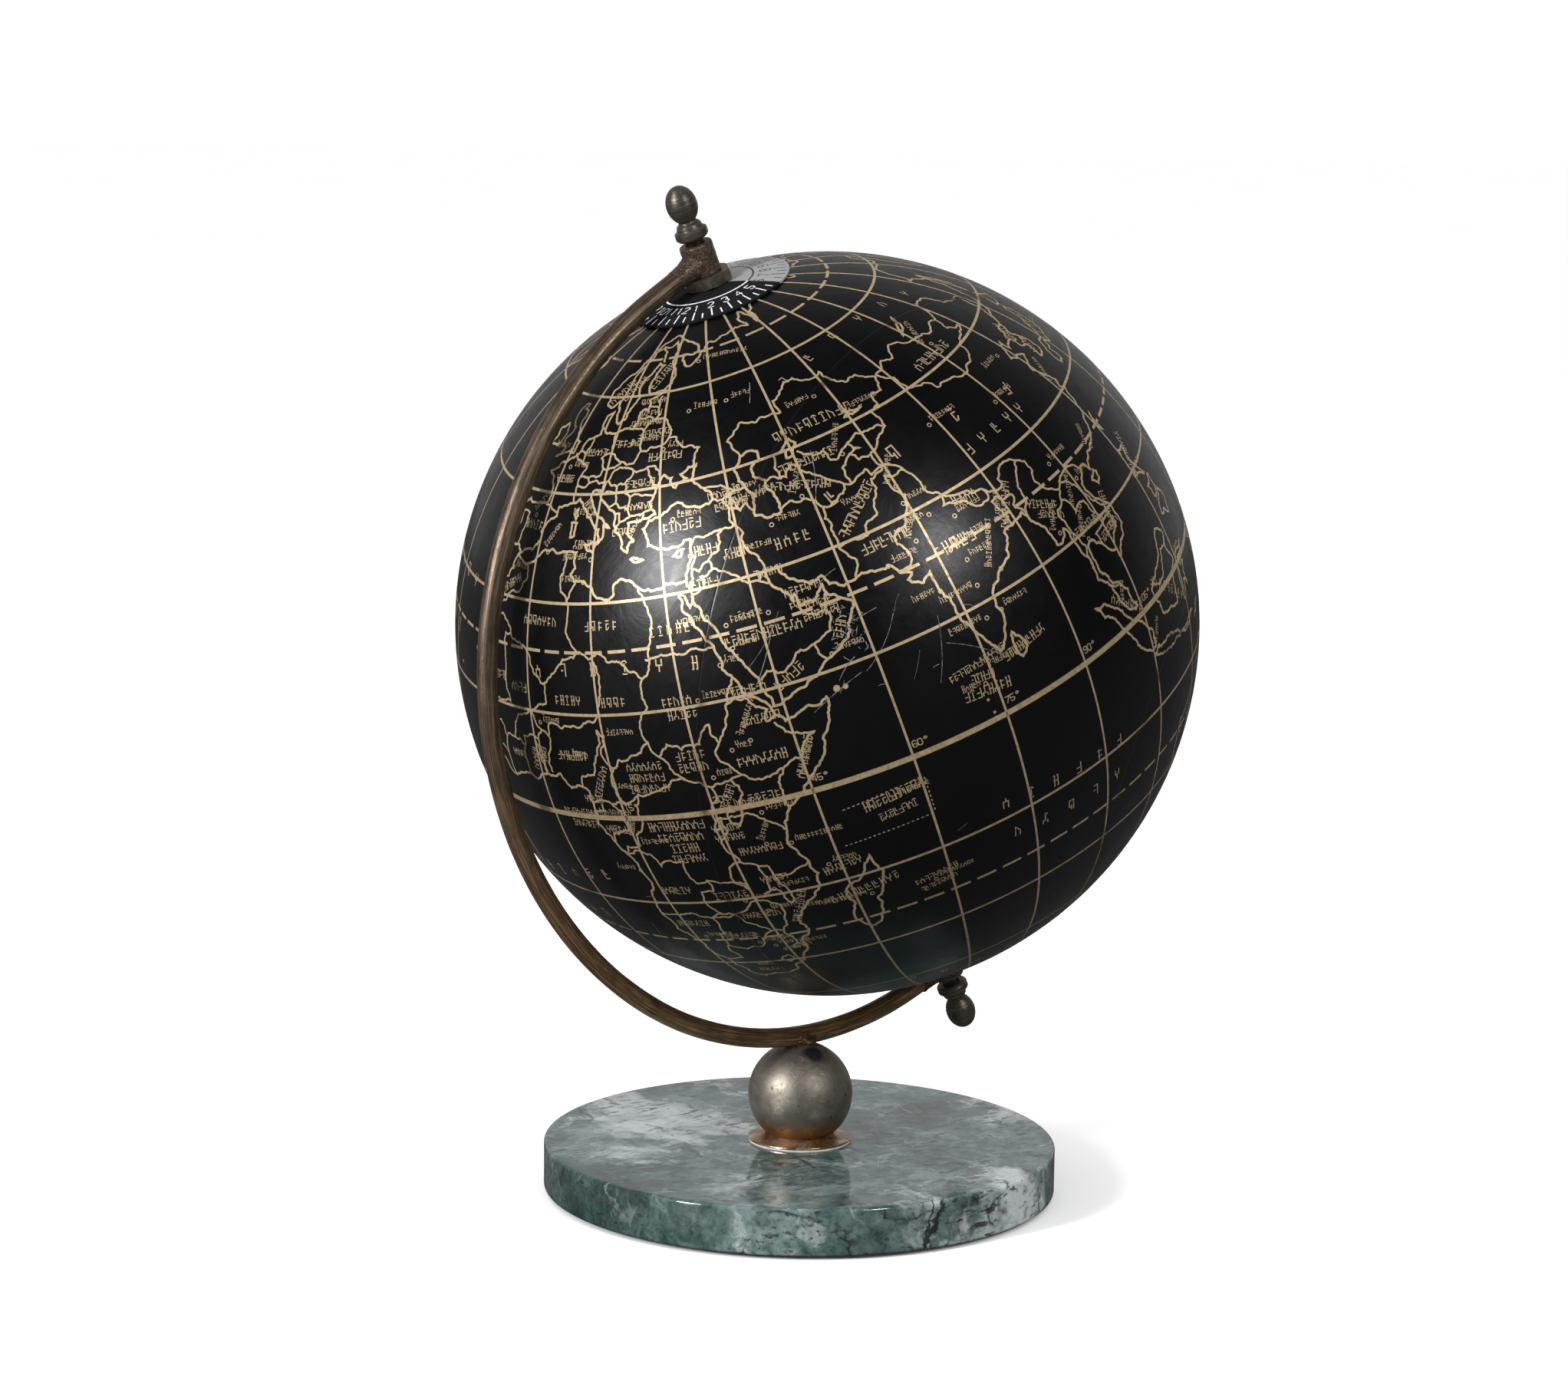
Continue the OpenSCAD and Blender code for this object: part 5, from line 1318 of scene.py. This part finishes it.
def surface_noise(scale, depth):
    def shape(angle, radius, height):
        p = Vector((math.cos(angle) * radius, math.sin(angle) * radius, height)) * scale
        return radius + depth * (noise.noise(p) + 0.5 * noise.noise(p * 2.7)), height

    return shape


def barrel_piece(name, matrix, node):
    """Brazed barrel at an end of the bar, with soft edges and a rough skin."""
    outline = rounded([(2.62, 103.85), (4.4, 103.85), (4.4, 112.15), (2.62, 112.15)], [0.35, 0.55], 6)
    show(name, lathe(name, finer(outline, 0.18), 96, surface_noise(0.9, 0.06), 50), matrix, "stand", BARREL, [node])


barrel_piece("barrel_top", ON_AXIS, "top_barrel")
barrel_piece("barrel_bottom", ON_SOUTH_AXIS, "bottom_barrel")


def flare(name, foot, ahead, node, big=3.95):
    """Braze metal that flares from the bar onto its barrel, seen from the barrel's axis outwards."""
    outline = [(big * 0.99, 2.2)]
    for i in range(25):
        t = i / 24
        outline.append((2.72 + (big - 2.72) * (1 - t) ** 2.2, 2.6 + 7.0 * t))
    outline.append((2.6, 9.7))
    turn = Vector((0, 0, 1)).rotation_difference(ahead).to_matrix().to_4x4()
    matrix = Matrix.Translation(foot * MM) @ turn
    show(name, lathe(name, finer(outline, 0.22), 72, surface_noise(0.7, 0.1), 70), matrix, "stand", BARREL, [node])


flare("flare_top", run_start + run_ahead * run_length, -run_ahead, "top_braze")
end_radius = (on_curve(LOWER, 1, degrees + 2.6) - LOWER).normalized()
flare("flare_bottom", on_curve(LOWER, LOWER_R, degrees + 2.6), Vector((0, 1, 0)).cross(end_radius).normalized(), "bottom_braze")


# ---------------------------------------------------------------- base

low, high = [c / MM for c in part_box("marble_base")]
base_r, base_low, base_top = high.x, low.z, high.z
stone = rounded(
    [(3.5, base_low + 7.6), (3.5, base_top), (base_r, base_top), (base_r, base_low), (12, base_low), (12, base_low + 7.6)],
    [0.15, 1.1, 1.0, 0.1],
    8,
)
stone = finer(stone, 2.0) + [(3.5, base_low + 7.62)]


def sawn(angle, radius, height):
    """The edge was ground by hand: it waves by a few hundredths of a mm."""
    if radius < 60:
        return radius, height
    p = Vector((math.cos(angle) * 5, math.sin(angle) * 5, height * 0.12))
    return radius + 0.09 * noise.noise(p) - 0.06, height


show("stone_disc", lathe("stone_disc", stone, 360, sawn, 60), UPRIGHT, "stand", marble(), ["marble_base"])

low, high = [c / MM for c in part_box("ball_collar")]
foot_r, foot_low, foot_top = high.x, low.z, high.z
cup = rounded(
    [(3.1, foot_low), (foot_r, foot_low), (foot_r, foot_low + 0.55), (11.2, foot_top - 0.35), (9.0, foot_top), (8.6, foot_top)],
    [0.12, 0.3, 0.7, 0.3],
    6,
)


def spun(angle, radius, height):
    p = Vector((math.cos(angle) * 2, math.sin(angle) * 2, radius * 0.2))
    return radius, height + (0.06 * noise.noise(p) if radius > 9 and height > foot_low + 0.2 else 0)


show(
    "spun_collar",
    lathe("spun_collar", finer(cup + [(3.1, foot_top - 0.1), (3.1, foot_low)], 0.3), 144, spun, 50),
    UPRIGHT,
    "stand",
    copper_plate(),
    ["ball_collar"],
)

FINISHES = {
    "felt_pad": felt(),
    "pedestal_ball": worn_nickel(),
    "top_hex_nut": NUT,
    "bottom_hex_nut": NUT,
    "top_pin": THREAD,
    "bottom_pin": THREAD,
    "flange_gasket": dull_polymer("pale_gasket", (0.42, 0.38, 0.35), (0.66, 0.60, 0.56)),
    "thrust_washer": dull_polymer("white_nylon", (0.55, 0.55, 0.52), (0.72, 0.72, 0.69)),
    "equator_ring": dull_polymer("grey_board", (0.24, 0.20, 0.15), (0.38, 0.32, 0.25)),
    "base_stud": plain_metal("zinc_steel", (0.38, 0.38, 0.36), (0.60, 0.60, 0.57)),
    "lock_washer": plain_metal("spring_steel", (0.07, 0.07, 0.075), (0.17, 0.17, 0.18)),
    "north_bush": plain_metal("bush_brass", (0.38, 0.26, 0.10), (0.66, 0.49, 0.22)),
}
FINISHES["base_washer"] = FINISHES["base_nut"] = FINISHES["base_stud"]
FINISHES["south_bush"] = FINISHES["north_bush"]
for node_name, finish in FINISHES.items():
    NODES[node_name].data.materials.clear()
    NODES[node_name].data.materials.append(finish)


# ---------------------------------------------------------------- floor, light and camera


def make_floor():
    """A pale floor that runs into the white surroundings. It throws little light back, as on a low dark table."""
    sides, rings = 96, (0.0, 0.2, 0.5, 1.0, 2.0, 6.0, 30.0)
    points = [(r * 1000 * math.cos(2 * math.pi * k / sides), r * 1000 * math.sin(2 * math.pi * k / sides), -0.02) for r in rings for k in range(sides)]
    faces = []
    for i in range(len(rings) - 1):
        for k in range(sides):
            n = (k + 1) % sides
            faces.append([i * sides + k, i * sides + n, (i + 1) * sides + n, (i + 1) * sides + k])
    mesh = mesh_of("floor", points, faces)
    look = Look("pale_floor", Specular_IOR_Level=0.1)
    at = look.where()
    pale = look.ramp(look.noise(at, 300, 3), (0.3, (0.93, 0.93, 0.93)), (0.7, (0.95, 0.95, 0.95)))
    seen = look.add("ShaderNodeLightPath").outputs["Is Camera Ray"]
    look.colour(look.mix(seen, (0.07, 0.07, 0.07), pale))
    look.rough(look.ramp(look.noise(at, 8, 3), (0.3, 0.8), (0.7, 0.9)))
    mesh.materials.append(look.material)
    floor = bpy.data.objects.new("floor", mesh)
    bpy.context.scene.collection.objects.link(floor)


make_floor()

VIEW_FROM = Vector((-0.6356, -0.8178, 0.2915))
HEADING, PITCH, ROLL, LENS = 37.513, 8.508, 0.908, 89.2
look_turn = (
    Matrix.Rotation(math.radians(-HEADING), 4, "Z")
    @ Matrix.Rotation(math.radians(90 - PITCH), 4, "X")
    @ Matrix.Rotation(math.radians(ROLL), 4, "Z")
)
camera_data = bpy.data.cameras.new("camera")
camera_data.lens = LENS
camera_data.sensor_width = 36
camera_data.clip_start = 0.05
camera = bpy.data.objects.new("camera", camera_data)
camera.matrix_world = Matrix.Translation(VIEW_FROM) @ look_turn
bpy.context.scene.collection.objects.link(camera)
bpy.context.scene.camera = camera


def soft_light(name, toward, distance, size, watts, tint=(1, 1, 1)):
    """A lamp that faces the globe from a direction given to the camera's right, up and back."""
    right, up, back = (Vector(look_turn.col[i][:3]) for i in range(3))
    way = (right * toward[0] + up * toward[1] + back * toward[2]).normalized()
    data = bpy.data.lights.new(name, "AREA")
    data.shape = "RECTANGLE"
    data.size, data.size_y = size
    data.energy = watts
    data.color = tint
    lamp = bpy.data.objects.new(name, data)
    lamp.matrix_world = Matrix.Translation(CENTRE + way * distance) @ way.to_track_quat("Z", "Y").to_matrix().to_4x4()
    bpy.context.scene.collection.objects.link(lamp)


soft_light("left_lamp", (-0.73, 0.24, 0.64), 1.7, (0.25, 0.46), 31)
soft_light("right_lamp", (0.53, 0.36, 0.77), 1.7, (0.2, 0.26), 10)

def make_world():
    """White surroundings. Shiny surfaces see a white wall behind the object and a dim room in front of it."""
    world = bpy.data.worlds.new("studio")
    world.use_nodes = True
    nodes, links = world.node_tree.nodes, world.node_tree.links

    def add(kind, **settings):
        node = nodes.new(kind)
        for key, value in settings.items():
            setattr(node, key, value)
        return node

    facing = add("ShaderNodeVectorMath", operation="DOT_PRODUCT")
    links.new(add("ShaderNodeTexCoord").outputs["Generated"], facing.inputs[0])
    facing.inputs[1].default_value = (math.sin(math.radians(HEADING)), math.cos(math.radians(HEADING)), 0)
    wall = add("ShaderNodeMapRange", interpolation_type="SMOOTHSTEP")
    links.new(facing.outputs["Value"], wall.inputs["Value"])
    for socket, value in zip(("From Min", "From Max", "To Min", "To Max"), (0.05, 0.95, 0.03, 0.42)):
        wall.inputs[socket].default_value = value
    shiny = add("ShaderNodeLightPath").outputs["Is Glossy Ray"]
    blend = add("ShaderNodeMix", data_type="FLOAT")
    links.new(shiny, blend.inputs[0])
    blend.inputs[2].default_value = 1.1
    links.new(wall.outputs[0], blend.inputs[3])
    links.new(blend.outputs[0], nodes["Background"].inputs["Strength"])
    nodes["Background"].inputs["Color"].default_value = (1, 1, 1, 1)
    bpy.context.scene.world = world


make_world()
bpy.context.scene.view_settings.view_transform = "Standard"
